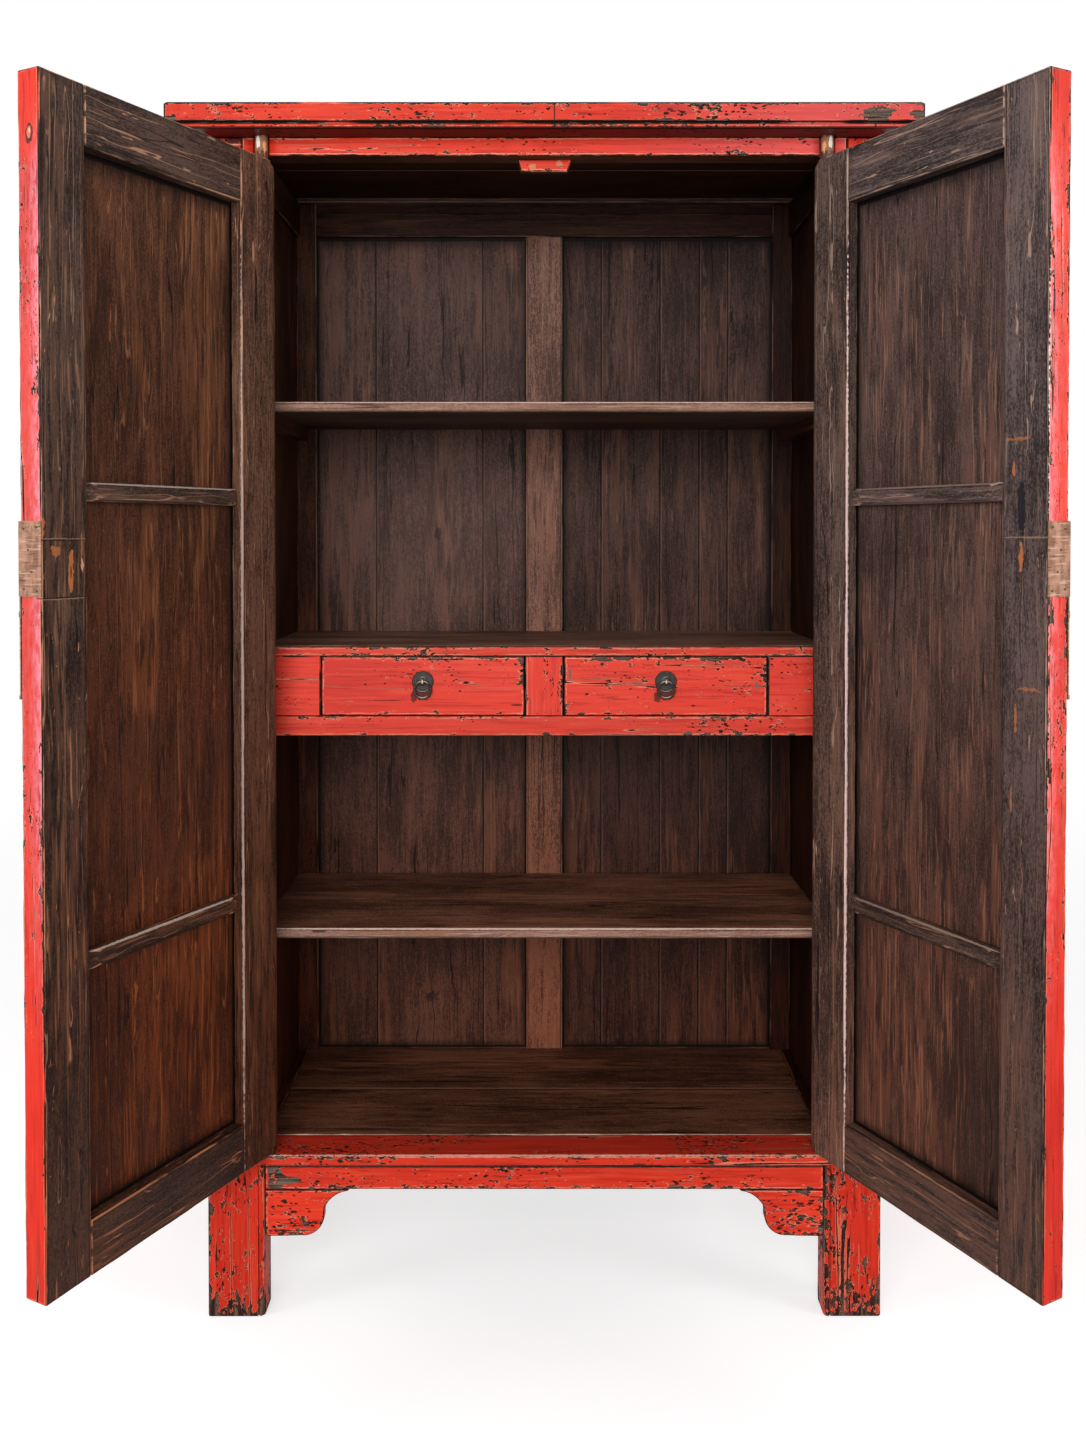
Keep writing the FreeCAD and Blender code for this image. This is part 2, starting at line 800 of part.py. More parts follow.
def side_panel():
    panel = block(*side_panel_limits())
    cuts = [grown(case_rail_end(*rail), 0) for rail in drawer_case_rails()]
    return panel.cut(cuts)


def case_rail_end(top, bottom, depth):
    return -side_inner - rail_housing, -side_inner, shelf_setback, shelf_setback + depth, bottom, top


def tail(level, pitch, end, root, thickness, gap):
    """One dovetail that points along -y from root, of a drawer's left side."""
    half_root, half_end = pitch * tail_root_share / 2 + gap, pitch * tail_end_share / 2 + gap
    x = -drawer_front_width / 2
    outline = [
        Vector(x, root, level - half_root),
        Vector(x, root, level + half_root),
        Vector(x, end, level + half_end),
        Vector(x, end, level - half_end),
    ]
    return prism(outline, Vector(thickness, 0, 0))


def side_tails(gap):
    """The tails of the left side, into the drawer front, or the room for them."""
    pitch = drawer_side_height / tail_count
    tails = []
    for number in range(tail_count):
        level = drawer_side_bottom + pitch * (number + 0.5)
        end = drawer_front_back - tail_length - gap
        thickness = drawer_side_thickness + gap
        tails.append(tail(level, pitch, end, drawer_front_back, thickness, gap))
    return tails


def back_tails(gap):
    """The tails at the rear of the left side, through the drawer's back."""
    pitch = drawer_side_height / tail_count
    root = drawer_rear - drawer_side_thickness
    tails = []
    for number in range(tail_count):
        level = drawer_side_bottom + pitch * (number + 0.5)
        tails.append(tail(level, pitch, root, drawer_rear, drawer_side_thickness + gap, gap))
    return tails


def drawer_front():
    half = drawer_front_width / 2
    y0, y1 = shelf_setback, drawer_front_back
    slab = rounded_rail(half, y0, y1, drawer_front_bottom, drawer_front_top, shelf_edge_round)
    cuts = side_tails(fit_gap) + [mirrored(t) for t in side_tails(fit_gap)]
    shank = cylinder(pull_shank_radius, Vector(0, y0 - overrun, pull_level), Vector(0, y1 + overrun, pull_level))
    return slab.cut(cuts + [groove(drawer_bottom_limits()), shank])


def drawer_bottom_limits():
    x = drawer_inner_half + drawer_groove_depth
    y0, y1 = drawer_front_back - drawer_groove_depth, drawer_rear
    return -x, x, y0, y1, drawer_bottom_level, drawer_bottom_level + drawer_bottom_thickness


def drawer_box():
    """Both sides and the back, joined by dovetails."""
    x = -drawer_front_width / 2
    rear = drawer_rear - drawer_side_thickness
    side = block(x, x + drawer_side_thickness, drawer_front_back, rear, drawer_side_bottom, drawer_side_top)
    side = side.fuse(side_tails(0) + back_tails(0)).cut(groove(drawer_bottom_limits()))
    bottom = drawer_bottom_level + drawer_bottom_thickness
    back = block(x, -x, rear, drawer_rear, bottom, bottom + drawer_back_height)
    room = back_tails(0)
    back = back.cut(room + [mirrored(t) for t in room])
    return Part.makeCompound([side, mirrored(side), back])


def drawer_bottom():
    return block(*drawer_bottom_limits())


def pull_plate():
    """A round plate with a raised rim and a low dome, and the eye and shank of the ring."""
    face, rim = pull_plate_front, pull_plate_front - pull_rim_height
    edge = pull_plate_radius

    def place(radius, y):
        return Vector(radius, y, pull_level)

    rim_width = 2 * pull_rim_height
    rim_arc = (place(edge, face), place(edge - pull_rim_height, rim), place(edge - rim_width, face))
    shoulder = face - pull_dome_height * pull_dome_shoulder_share
    top = face - pull_dome_height
    dome_arc = (place(pull_dome_radius, face), place(pull_dome_radius / 2, shoulder), place(0, top))
    outline = [place(0, shelf_setback), place(edge, shelf_setback), rim_arc, dome_arc]
    plate = flat(outline).revolve(Vector(0, 0, pull_level), Vector(0, 1, 0), 360)
    eye = Part.makeTorus(eye_radius, pull_eye_wire, Vector(0, ring_plane, pull_level), Vector(1, 0, 0))
    inner = Vector(0, pull_plate_front, pull_level)
    shank = cylinder(pull_shank_radius, inner, Vector(0, drawer_front_back, pull_level))
    return plate.fuse([eye, shank])


def pull_ring():
    """The ring hangs from the eye, with its wire in the middle of the eye."""
    return Part.makeTorus(ring_radius, ring_wire, Vector(0, ring_plane, pull_level - ring_radius), Vector(0, 1, 0))


def door_block(u0, u1, w0, w1, z0, z1):
    """A block of the shut left door: u runs from the pivot to the free edge, w from front to back."""
    return block(-pivot_x + u0, -pivot_x + u1, w0, w1, z0, z1)


def door_limits(u0, u1, w0, w1, z0, z1):
    return -pivot_x + u0, -pivot_x + u1, w0, w1, z0, z1


def rail_spans():
    """The heights of a door's top and bottom rails."""
    return (door_top - door_top_rail_height, door_top), (door_bottom, door_bottom + door_bottom_rail_height)


def door_tenons():
    """The tenons of both rails, as limits: into the hinge stile first, then into the lock stile."""
    hinge_end = hinge_stile_width - door_tenon_length
    lock_end = lock_stile_start + door_tenon_length
    tenons = []
    for bottom, top in rail_spans():
        z0, z1 = bottom + tenon_shoulder, top - tenon_shoulder
        tenons.append(door_limits(hinge_end, hinge_stile_width, 0, door_tenon_thickness, z0, z1))
        tenons.append(door_limits(lock_stile_start, lock_end, 0, door_tenon_thickness, z0, z1))
    return tenons


def door_panel_limits():
    w0 = -heel_radius + door_panel_recess
    u0, u1 = hinge_stile_width - groove_depth, lock_stile_start + groove_depth
    z0 = door_bottom + door_bottom_rail_height - groove_depth
    z1 = door_top - door_top_rail_height + groove_depth
    return door_limits(u0, u1, w0, w0 + door_panel_thickness, z0, z1)


def batten_sections(level):
    """A batten's body and its dovetail, both square to its length."""
    inner = -heel_radius + door_panel_recess + door_panel_thickness
    outer = inner + batten_proud
    x = -pivot_x + hinge_stile_width - batten_housing
    half = batten_height / 2

    def place(w, z):
        return Vector(x, w, level + z)

    body = [
        place(inner, -half),
        place(outer - batten_chamfer, -half),
        place(outer, -half + batten_chamfer),
        place(outer, half - batten_chamfer),
        place(outer - batten_chamfer, half),
        place(inner, half),
    ]
    neck, root = dovetail_neck / 2, dovetail_root / 2
    depth = inner - dovetail_depth
    key = [place(inner, -neck), place(inner, neck), place(depth, root), place(depth, -root)]
    return body, key


def batten_length():
    return lock_stile_start - hinge_stile_width + 2 * batten_housing


def batten_key(level):
    """The dovetail that holds a batten in the panel."""
    return prism(batten_sections(level)[1], Vector(batten_length(), 0, 0))


def batten(level):
    body = prism(batten_sections(level)[0], Vector(batten_length(), 0, 0))
    inner = -heel_radius + door_panel_recess + door_panel_thickness
    outer = inner + batten_proud
    start = -pivot_x + hinge_stile_width
    end = -pivot_x + lock_stile_start
    bottom = level - batten_height / 2
    for edge, way in ((start, 1), (end, -1)):
        corners = [
            Vector(edge - way * overrun, outer - batten_end_drop, bottom),
            Vector(edge, outer - batten_end_drop, bottom),
            Vector(edge + way * batten_end_length, outer, bottom),
            Vector(edge + way * batten_end_length, outer + overrun, bottom),
            Vector(edge - way * overrun, outer + overrun, bottom),
        ]
        body = body.cut(prism(corners, Vector(0, 0, batten_height)))
    between = block(start, end, -heel_radius, inner, bottom, bottom + batten_height)
    return body.fuse(batten_key(level).common(between))


def batten_levels():
    return upper_batten_level, lower_batten_level


def batten_housings():
    """The room for the ends of the battens, in both stiles."""
    inner = -heel_radius + door_panel_recess + door_panel_thickness
    outer = inner + batten_proud - batten_end_drop
    u0, u1 = hinge_stile_width - batten_housing, lock_stile_start + batten_housing
    half = batten_height / 2
    return [grown(door_limits(u0, u1, inner, outer, level - half, level + half)) for level in batten_levels()]


def hinge_stile():
    """The stile whose round heel turns in the post. Its ends carry the pivots."""
    axis = Vector(-pivot_x, 0, 0)
    heel = cylinder(heel_radius, axis + Vector(0, 0, door_bottom), axis + Vector(0, 0, door_top))
    ends = [e for e in heel.Edges if e.BoundBox.ZLength < fit_gap and e.BoundBox.XLength > heel_radius]
    heel = heel.makeFillet(heel_round, ends)
    body = door_block(0, hinge_stile_width, -heel_radius, heel_radius, door_bottom, door_top)
    top_end = axis + Vector(0, 0, post_top + top_pivot_reach)
    top = cylinder(pivot_radius, axis + Vector(0, 0, door_top - heel_round), top_end)
    top_edges = [e for e in top.Edges if e.BoundBox.ZMin > top_end.z - fit_gap]
    top = top.makeFillet(pivot_end_round, top_edges)
    low_end = axis + Vector(0, 0, door_bottom - bottom_pivot_length)
    low = cylinder(pivot_radius, low_end, axis + Vector(0, 0, door_bottom + heel_round))
    stile = body.fuse([heel, top, low])
    cuts = [grown(limits) for limits in door_tenons()] + [groove(door_panel_limits())] + batten_housings()
    return stile.cut(cuts)


def lock_stile():
    stile = door_block(lock_stile_start, door_leaf, -heel_radius, heel_radius, door_bottom, door_top)
    cuts = [grown(limits) for limits in door_tenons()] + [groove(door_panel_limits())] + batten_housings()
    return stile.cut(cuts)


def door_rail(which):
    bottom, top = rail_spans()[which]
    rail = door_block(hinge_stile_width, lock_stile_start, -heel_radius, heel_radius, bottom, top)
    tenons = [block(*limits) for limits in door_tenons()[2 * which:2 * which + 2]]
    return rail.fuse(tenons).cut(groove(door_panel_limits()))


def door_panel():
    return block(*door_panel_limits()).cut([batten_key(level) for level in batten_levels()])


def door_battens():
    return Part.makeCompound([batten(level) for level in batten_levels()])


def lock_plate():
    """Half of a round plate, with a raised rim, a tab over the door's edge, and a lug with a hole."""
    edge = -pivot_x + door_leaf
    face = -heel_radius
    middle = Vector(edge, face, lock_plate_level)
    out = Vector(0, -1, 0)
    disc = Part.makeCylinder(lock_plate_radius, lock_plate_thickness, middle, out)
    rim_height = lock_plate_thickness + lock_plate_rim_height
    rim = Part.makeCylinder(lock_plate_radius, rim_height, middle, out)
    rim = rim.cut(Part.makeCylinder(lock_plate_radius - lock_plate_rim_width, rim_height, middle, out))
    radius = lock_plate_radius
    low, high = lock_plate_level - radius, lock_plate_level + radius
    half_room = block(edge - radius, edge, face - rim_height, face, low, high)
    tab = block(edge, edge + edge_tab_thickness, face - lock_plate_thickness, heel_radius, edge_tab_bottom, edge_tab_top)
    plate = disc.fuse(rim).common(half_room)
    return plate.fuse([tab, lock_lug()]).removeSplitter()


def lock_lug():
    """A lug with a round end, for the bar of a padlock that holds both doors."""
    x1 = -pivot_x + door_leaf - lug_inset
    x0 = x1 - lug_thickness
    root = -heel_radius - lock_plate_thickness / 2
    hole = -heel_radius - lug_reach + lug_width / 2
    radius = lug_width / 2
    body = block(x0, x1, hole, root, lock_plate_level - radius, lock_plate_level + radius)
    start, end = Vector(x0, hole, lock_plate_level), Vector(x1, hole, lock_plate_level)
    return body.fuse(cylinder(radius, start, end)).cut(cylinder(lug_hole_radius, start, end))


def opened(shape):
    """A piece of the shut left door, turned to where the door stands open."""
    shape.rotate(Vector(-pivot_x, 0, 0), Vector(0, 0, 1), -open_angle)
    return shape


def save(name, shape):
    shape.translate(Vector(0, -middle_depth, 0))
    shape.exportStep("parts/" + name + ".step")
    print(name, len(shape.Solids), round(shape.Volume))


def save_pair(name, shape):
    right = mirrored(shape)
    save(name + "_left", shape)
    save(name + "_right", right)


def save_case():
    save_pair("front_post", front_post())
    save_pair("rear_post", rear_post())
    save_pair("cornice", cornice_side())
    save_pair("apron_bracket", apron_bracket())
    save_pair("side_top_rail", side_rail(post_top, side_top_rail_bottom, side_top_rail_inner))
    save_pair("side_bottom_rail", side_bottom_rail())
    save_pair("side_panel", side_panel())
    save("back_panel_left", back_panel(left_back_joint_shares))
    save("back_panel_right", mirrored(back_panel(right_back_joint_shares)))
    pieces = (cornice_front, cornice_rear, top_boards, head_rail, door_stop_block, sill_rail, apron)
    pieces += (back_top_rail, back_bottom_rail, back_muntin, floor_boards, shelf_runners)
    pieces += (drawer_case_divider, drawer_case_ends, drawer_case_board, drawer_case_floor)
    for piece in pieces:
        save(piece.__name__, piece())
    save("upper_shelf", shelf(upper_shelf_top))
    save("lower_shelf", shelf(lower_shelf_top))
    save("drawer_case_top_rail", drawer_case_rail(0))
    save("drawer_case_bottom_rail", drawer_case_rail(1))


def save_doors():
    pieces = {
        "hinge_stile": hinge_stile(),
        "lock_stile": lock_stile(),
        "top_rail": door_rail(0),
        "bottom_rail": door_rail(1),
        "panel": door_panel(),
        "battens": door_battens(),
        "lock_plate": lock_plate(),
    }
    for name, shape in pieces.items():
        left = opened(shape)
        right = mirrored(left)
        save("left_door_" + name, left)
        save("right_door_" + name, right)


def save_drawers():
    for side, way in (("left", -1), ("right", 1)):
        for piece in (drawer_front, drawer_box, drawer_bottom, pull_plate, pull_ring):
            shape = piece()
            shape.translate(Vector(way * drawer_middle, 0, 0))
            name = piece.__name__.replace("drawer_", "")
            save(side + "_drawer_" + name, shape)


os.makedirs("parts", exist_ok=True)
save_case()
save_doors()
save_drawers()
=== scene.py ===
import json
import math
import bmesh
import bpy
from mathutils import Euler, Matrix, Vector, noise as fields


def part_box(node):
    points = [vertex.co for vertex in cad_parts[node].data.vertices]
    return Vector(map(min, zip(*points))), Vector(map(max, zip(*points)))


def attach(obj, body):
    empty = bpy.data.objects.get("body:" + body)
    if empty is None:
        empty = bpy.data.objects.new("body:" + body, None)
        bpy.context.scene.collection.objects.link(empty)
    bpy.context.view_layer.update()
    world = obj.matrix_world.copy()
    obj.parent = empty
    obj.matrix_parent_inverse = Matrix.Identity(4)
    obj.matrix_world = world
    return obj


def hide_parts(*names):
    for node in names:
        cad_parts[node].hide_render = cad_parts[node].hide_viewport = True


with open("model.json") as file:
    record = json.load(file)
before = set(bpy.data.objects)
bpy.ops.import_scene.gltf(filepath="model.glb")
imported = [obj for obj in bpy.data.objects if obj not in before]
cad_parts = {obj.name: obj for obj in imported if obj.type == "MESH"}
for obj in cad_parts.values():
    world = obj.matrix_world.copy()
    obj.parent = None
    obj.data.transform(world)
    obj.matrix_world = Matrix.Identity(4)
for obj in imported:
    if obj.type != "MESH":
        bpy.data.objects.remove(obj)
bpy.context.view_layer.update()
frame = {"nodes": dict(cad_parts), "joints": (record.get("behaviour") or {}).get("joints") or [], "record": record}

print("frame loaded,", len(frame["nodes"]), "nodes")

# Places that the finishes and the added pieces share, all read from the frame
joints = {joint["name"]: joint for joint in frame["joints"]}
bodies = frame["record"]["behaviour"]["bodies"]
bodyOf = {node: body for body, nodes in bodies.items() for node in nodes}
pivot = Vector(joints["left_door_hinge"]["pos_m"])
doorTurn = math.radians(joints["left_door_hinge"]["range_deg"][1])
sides = ("left", "right")
forward = (0, -1, 0)


# Small helpers for node trees: they add to the tree that was started last
drawing = {}


def link(value, socket):
    drawing["tree"].links.new(value, socket)


def addNode(kind, feeds=None, **settings):
    node = drawing["tree"].nodes.new("ShaderNode" + kind)
    for name, value in settings.items():
        setattr(node, name, value)
    for name, value in (feeds or {}).items():
        if isinstance(value, bpy.types.NodeSocket):
            link(value, node.inputs[name])
        else:
            node.inputs[name].default_value = value
    return node


def calc(operation, first, second=0.0, third=0.0, clamp=False):
    feeds = {0: first, 1: second, 2: third}
    return addNode("Math", feeds, operation=operation, use_clamp=clamp).outputs[0]


def plus(first, second):
    return calc("ADD", first, second)


def minus(first, second, clamp=False):
    return calc("SUBTRACT", first, second, clamp=clamp)


def times(first, second):
    return calc("MULTIPLY", first, second)


def smaller(first, second):
    return calc("MINIMUM", first, second)


def larger(first, second):
    return calc("MAXIMUM", first, second)


def scaled(value, factor, offset, clamp=False):  # value times factor plus offset
    return calc("MULTIPLY_ADD", value, factor, offset, clamp)


def about(value, span):  # a noise from 0 to 1 spread over span, with zero in the middle
    return scaled(value, span, -span / 2)


def shift(operation, first, second):
    return addNode("VectorMath", {0: first, 1: second}, operation=operation).outputs[0]


def vectorOf(**parts):
    return addNode("CombineXYZ", parts).outputs[0]


def lengthOf(vector):
    return addNode("VectorMath", {0: vector}, operation="LENGTH").outputs["Value"]


def alignment(way):  # how far the surface looks that way
    normal = addNode("TexCoord").outputs["Normal"]
    return addNode("VectorMath", {0: normal, 1: way}, operation="DOT_PRODUCT").outputs["Value"]


def faces(way):  # 1 on the faces that look that way
    return calc("GREATER_THAN", alignment(way), 0.3)


def fade(value, low, high, most=1.0):  # 0 at low, most at high
    feeds = {"Value": value, "From Min": low, "From Max": high, "To Max": most}
    return addNode("MapRange", feeds, interpolation_type="SMOOTHSTEP").outputs[0]


def band(value, low, high, soft):  # 1 between low and high
    return times(fade(value, low - soft, low), fade(value, high + soft, high))


def contour(value, width):  # 1 on the thin lines where a noise passes its middle
    return fade(calc("ABSOLUTE", minus(value, 0.5)), width, width * 0.4)


def opaque(colour):  # a socket, or a colour's three parts
    return colour if isinstance(colour, bpy.types.NodeSocket) else (*colour, 1)


def tint(factor, first, second, mode="MIX"):
    feeds = {0: factor, 6: opaque(first), 7: opaque(second)}
    return addNode("Mix", feeds, data_type="RGBA", blend_type=mode).outputs[2]


def noise(vector, scale, detail=2.0, roughness=0.5):
    feeds = {"Vector": vector, "Scale": scale, "Detail": detail, "Roughness": roughness}
    return addNode("TexNoise", feeds).outputs["Fac"]


def stretch(vector, along):  # the grain runs along Z
    return shift("MULTIPLY", vector, (1.0, 1.0, along))


def grained(vector, along, scale, detail=2.0, roughness=0.5):
    return noise(stretch(vector, along), scale, detail, roughness)


def rotated(vector, angles):
    return addNode("Mapping", {"Vector": vector, "Rotation": angles}).outputs[0]


def axes(vector):
    return addNode("SeparateXYZ", {0: vector}).outputs


def newGroup(name, inputs, outputs):
    tree = drawing["tree"] = bpy.data.node_groups.new(name, "ShaderNodeTree")
    for label, kind in inputs.items():
        tree.interface.new_socket(label, in_out="INPUT", socket_type="NodeSocket" + kind)
    for label, kind in outputs.items():
        tree.interface.new_socket(label, in_out="OUTPUT", socket_type="NodeSocket" + kind)
    return tree.nodes.new("NodeGroupInput").outputs, tree.nodes.new("NodeGroupOutput").inputs


def placeGroup(group, feeds):
    return addNode("Group", feeds, node_tree=group).outputs


def closeGroup(made, **results):
    for name, value in results.items():
        link(value, made[name])
    return drawing["tree"]


surfaceOutputs = {"Colour": "Color", "Rough": "Float", "Height": "Float"}


# How far a point is from an arris of its piece's box:
# the middle one of its distances to the three pairs of faces
def makeArrisGroup():
    inputs = {"Vector": "Vector", "Low": "Vector", "High": "Vector", "Worn": "Float"}
    given, made = newGroup("arris", inputs, {"Away": "Float"})
    below = axes(shift("SUBTRACT", given["Vector"], given["Low"]))
    above = axes(shift("SUBTRACT", given["High"], given["Vector"]))
    first, second, third = (smaller(below[spot], above[spot]) for spot in range(3))
    upper = smaller(larger(first, second), third)
    middle = larger(smaller(first, second), upper)
    return closeGroup(made, Away=times(middle, minus(1.0, given["Worn"])))


# The tone is a sum of noises with their shares, and turns from dark to light between two sums
woodLook = {
    "sway": 0.018,
    "cloudShare": 0.66,
    "fibreShare": 0.62,
    "dustShare": 0.5,
    "streakShare": 0.36,
    "tones": (0.91, 1.27),
    "warmth": 0.58,
    "grime": 0.6,
    "hollowDepth": 0.8,
    "hollow": (0.004, 0.002, 0.0015),
    "lightLines": 0.8,
    "scratches": ((0.2, 0.11, 0.72), (-0.55, 0.2, 0.76)),  # each with its lean, its length and how few
    "wornShare": 0.75,
    "roughness": (0.3, 0.42),
}


# Old wood: clouds of tone, warm bands, fine fibres, threads, shakes, long light lines and rubbed arrises
def makeWoodGroup():
    look = woodLook
    inputs = {"Vector": "Vector", "Away": "Float", "Threads": "Float", "Rubbed": "Float"}
    inputs.update(dict.fromkeys(("Dark", "Light", "Warm", "Worn"), "Color"))
    given, made = newGroup("wood", inputs, surfaceOutputs)
    vector = given["Vector"]
    sway = about(grained(vector, 0.3, 14.0, 3.0, 0.6), look["sway"])
    bent = shift("ADD", vector, vectorOf(X=sway, Y=sway))
    cloud = grained(bent, 0.4, 9.0, 3.0, 0.62)
    streak = grained(bent, 0.085, 110.0, 2.0, 0.6)
    fibre = grained(bent, 0.1, 620.0, 2.0, 0.75)
    broad = grained(bent, 0.18, 12.0, 2.0, 0.6)
    dust = grained(vector, 0.55, 520.0, 1.0)
    rub = grained(vector, 0.14, 75.0, 3.0, 0.66)
    tone = times(cloud, look["cloudShare"])
    for part, share in ((fibre, "fibreShare"), (dust, "dustShare"), (streak, "streakShare")):
        tone = scaled(part, look[share], tone)
    colour = tint(fade(tone, *look["tones"]), given["Dark"], given["Light"])
    warmth = times(fade(broad, 0.46, 0.62, look["warmth"]), fade(streak, 0.4, 0.58))
    colour = tint(warmth, colour, given["Warm"])
    thread = fade(grained(bent, 0.026, 300.0, 1.0, 0.6), 0.585, 0.65, given["Threads"])
    colour = tint(times(thread, fade(broad, 0.38, 0.62)), colour, given["Worn"])
    shake = times(contour(grained(bent, 0.02, 60.0, 1.0), 0.012), fade(broad, 0.52, 0.44))
    grime = band(scaled(rub, 0.006, given["Away"]), 0.0045, 0.0062, 0.0012)
    hollow = larger(shake, times(grime, look["grime"]))
    colour = tint(times(hollow, look["hollowDepth"]), colour, look["hollow"])
    line = times(contour(grained(bent, 0.016, 46.0, 1.0), 0.007), fade(rub, 0.4, 0.56, look["lightLines"]))
    scratch = fade(rub, 0.68, 0.72)
    for lean, length, few in look["scratches"]:
        tilted = rotated(bent, (0.4 * lean, lean, 0.0))
        score = fade(grained(tilted, length, 300.0, 2.0, 0.6), few, few + 0.03)
        scratch = larger(scratch, score)
    arris = fade(scaled(rub, 0.0088, given["Away"]), 0.005, 0.0036)
    worn = larger(arris, times(larger(scratch, line), given["Rubbed"]))
    colour = tint(times(worn, look["wornShare"]), colour, given["Worn"])
    rough = scaled(fibre, *look["roughness"])
    height = scaled(shake, -0.8, scaled(dust, 0.3, fibre))
    return closeGroup(made, Colour=colour, Rough=rough, Height=height)


# Lacquer is gone where a sum of noises, nearness of an arris and bareness passes "patch"
lacquerLook = {
    "red": (0.7, 0.04, 0.016),
    "deepRed": (0.42, 0.013, 0.007),
    "paleRed": (0.8, 0.135, 0.07),
    "pink": (0.86, 0.285, 0.33),
    "brightLine": (0.8, 0.34, 0.22),
    # painted shade on undersides, and soot on the sill's top
    "soot": (0.05, 0.007, 0.005),
    "underCoatAndShadow": (0.024, 0.01, 0.007),
    "greyCoat": (0.155, 0.108, 0.083),
    # a painted shade over the fascia and the drawer case's rails
    "dim": (0.89, 0.95, 0.95),
    "roughness": 0.42,
    "chipRoughness": 0.78,
    "crowdShare": 0.46,
    "arrisShare": 0.118,
    "bareShare": 0.3,
    "beadShare": 0.085,
    "patch": (0.686, 0.694),
    "inner": (0.708, 0.75),
    "halo": (0.65, 0.668),
    "knocks": ((130.0, 0.6), (240.0, 0.42)),  # each layer's scale and how few of its cells have one
}


# Worn lacquer: clouds and brush streaks, chips down to the ground, knocks, dashes and cracks along the grain
def makeLacquerGroup():
    look = lacquerLook
    inputs = dict.fromkeys(("Away", "Amount", "Cracks", "Bare", "Pale", "Knocks", "Outline"), "Float")
    given, made = newGroup("lacquer", dict(inputs, Vector="Vector"), surfaceOutputs)
    vector = given["Vector"]
    cloud = grained(vector, 0.35, 9.0, 3.0, 0.6)
    streak = grained(vector, 0.045, 210.0, 2.0, 0.62)
    crowd = grained(vector, 0.45, 13.0, 2.0, 0.6)
    chip = grained(vector, 0.48, 105.0, 3.0, 0.68)
    near = fade(given["Away"], 0.01, 0.001)
    field = plus(chip, -look["crowdShare"] / 2)
    field = scaled(crowd, look["crowdShare"], field)
    field = plus(field, scaled(near, look["arrisShare"], given["Amount"]))
    field = scaled(given["Bare"], look["bareShare"], field)
    path = grained(vector, 0.03, 40.0, 2.0, 0.45)
    split = calc("ABSOLUTE", minus(path, 0.5))
    where = fade(grained(vector, 0.2, 15.0, 1.0), 0.45, 0.58)
    cracked = times(where, given["Cracks"])
    field = scaled(times(fade(split, 0.03, 0.0), cracked), look["beadShare"], field)
    patch = fade(field, *look["patch"])
    inner = fade(field, *look["inner"])
    halo = minus(fade(field, *look["halo"]), patch, clamp=True)
    jitter = shift("ADD", vector, vectorOf(X=times(chip, 0.006), Z=times(streak, 0.02)))
    crowded = scaled(crowd, 4.2, -1.55, clamp=True)
    gone = patch
    for scale, few in look["knocks"]:
        feeds = {"Vector": stretch(jitter, 0.6), "Scale": scale, "Randomness": 1.0}
        cells = addNode("TexVoronoi", feeds).outputs
        size = addNode("SeparateColor", {"Color": cells["Color"]}).outputs["Red"]
        reach = times(minus(size, few, clamp=True), crowded)
        reach = times(reach, given["Knocks"])
        gone = larger(gone, calc("LESS_THAN", cells["Distance"], reach))
    dash = fade(grained(vector, 0.065, 300.0, 1.0), 0.655, 0.67)
    dashed = calc("MULTIPLY", fade(crowd, 0.42, 0.56), given["Cracks"], clamp=True)
    gone = larger(gone, times(dash, dashed))
    width = times(cracked, times(chip, 0.02))
    gone = larger(gone, calc("LESS_THAN", split, width))
    lip = times(calc("LESS_THAN", split, times(width, 2.4)), where)
    colour = tint(fade(cloud, 0.44, 0.7, 0.46), look["red"], look["deepRed"])
    colour = tint(fade(streak, 0.52, 0.66, 0.55), colour, look["deepRed"])
    colour = tint(fade(streak, 0.44, 0.32, 0.22), colour, look["paleRed"])
    # Pale: pink where the lacquer has faded, and a painted sheen on the doors' free edges
    colour = tint(given["Pale"], colour, look["pink"])
    rim = plus(given["Away"], about(chip, 0.005))
    light = times(band(rim, 0.0018, 0.003, 0.0006), fade(streak, 0.42, 0.54))
    light = larger(light, times(larger(halo, lip), 0.8))
    colour = tint(times(light, 0.6), colour, look["brightLine"])
    outline = calc("LESS_THAN", rim, given["Outline"])
    gone = larger(gone, times(outline, fade(crowd, 0.36, 0.44)))
    bared = times(inner, fade(streak, 0.36, 0.62))
    colour = tint(gone, colour, tint(bared, look["underCoatAndShadow"], look["greyCoat"]))
    rough = scaled(gone, look["chipRoughness"] - look["roughness"], look["roughness"])
    rough = plus(rough, about(cloud, 0.3))
    height = scaled(streak, 0.3, times(patch, -1.0))
    return closeGroup(made, Colour=colour, Rough=rough, Height=height)


# A place with a ragged outline: 1 within the ellipsoid, 0 outside
def makeSpotGroup():
    inputs = {"Vector": "Vector", "Centre": "Vector", "Size": "Vector", "Ragged": "Float"}
    given, made = newGroup("spot", inputs, {"Within": "Float"})
    offset = shift("SUBTRACT", given["Vector"], given["Centre"])
    reach = lengthOf(shift("DIVIDE", offset, given["Size"]))
    rough = minus(noise(given["Vector"], 190.0, 1.0), 0.5)
    reach = plus(reach, times(rough, given["Ragged"]))
    return closeGroup(made, Within=fade(reach, 1.12, 0.88))


arrisGroup = makeArrisGroup()
woodGroup = makeWoodGroup()
lacquerGroup = makeLacquerGroup()
spotGroup = makeSpotGroup()
print("shader groups made")

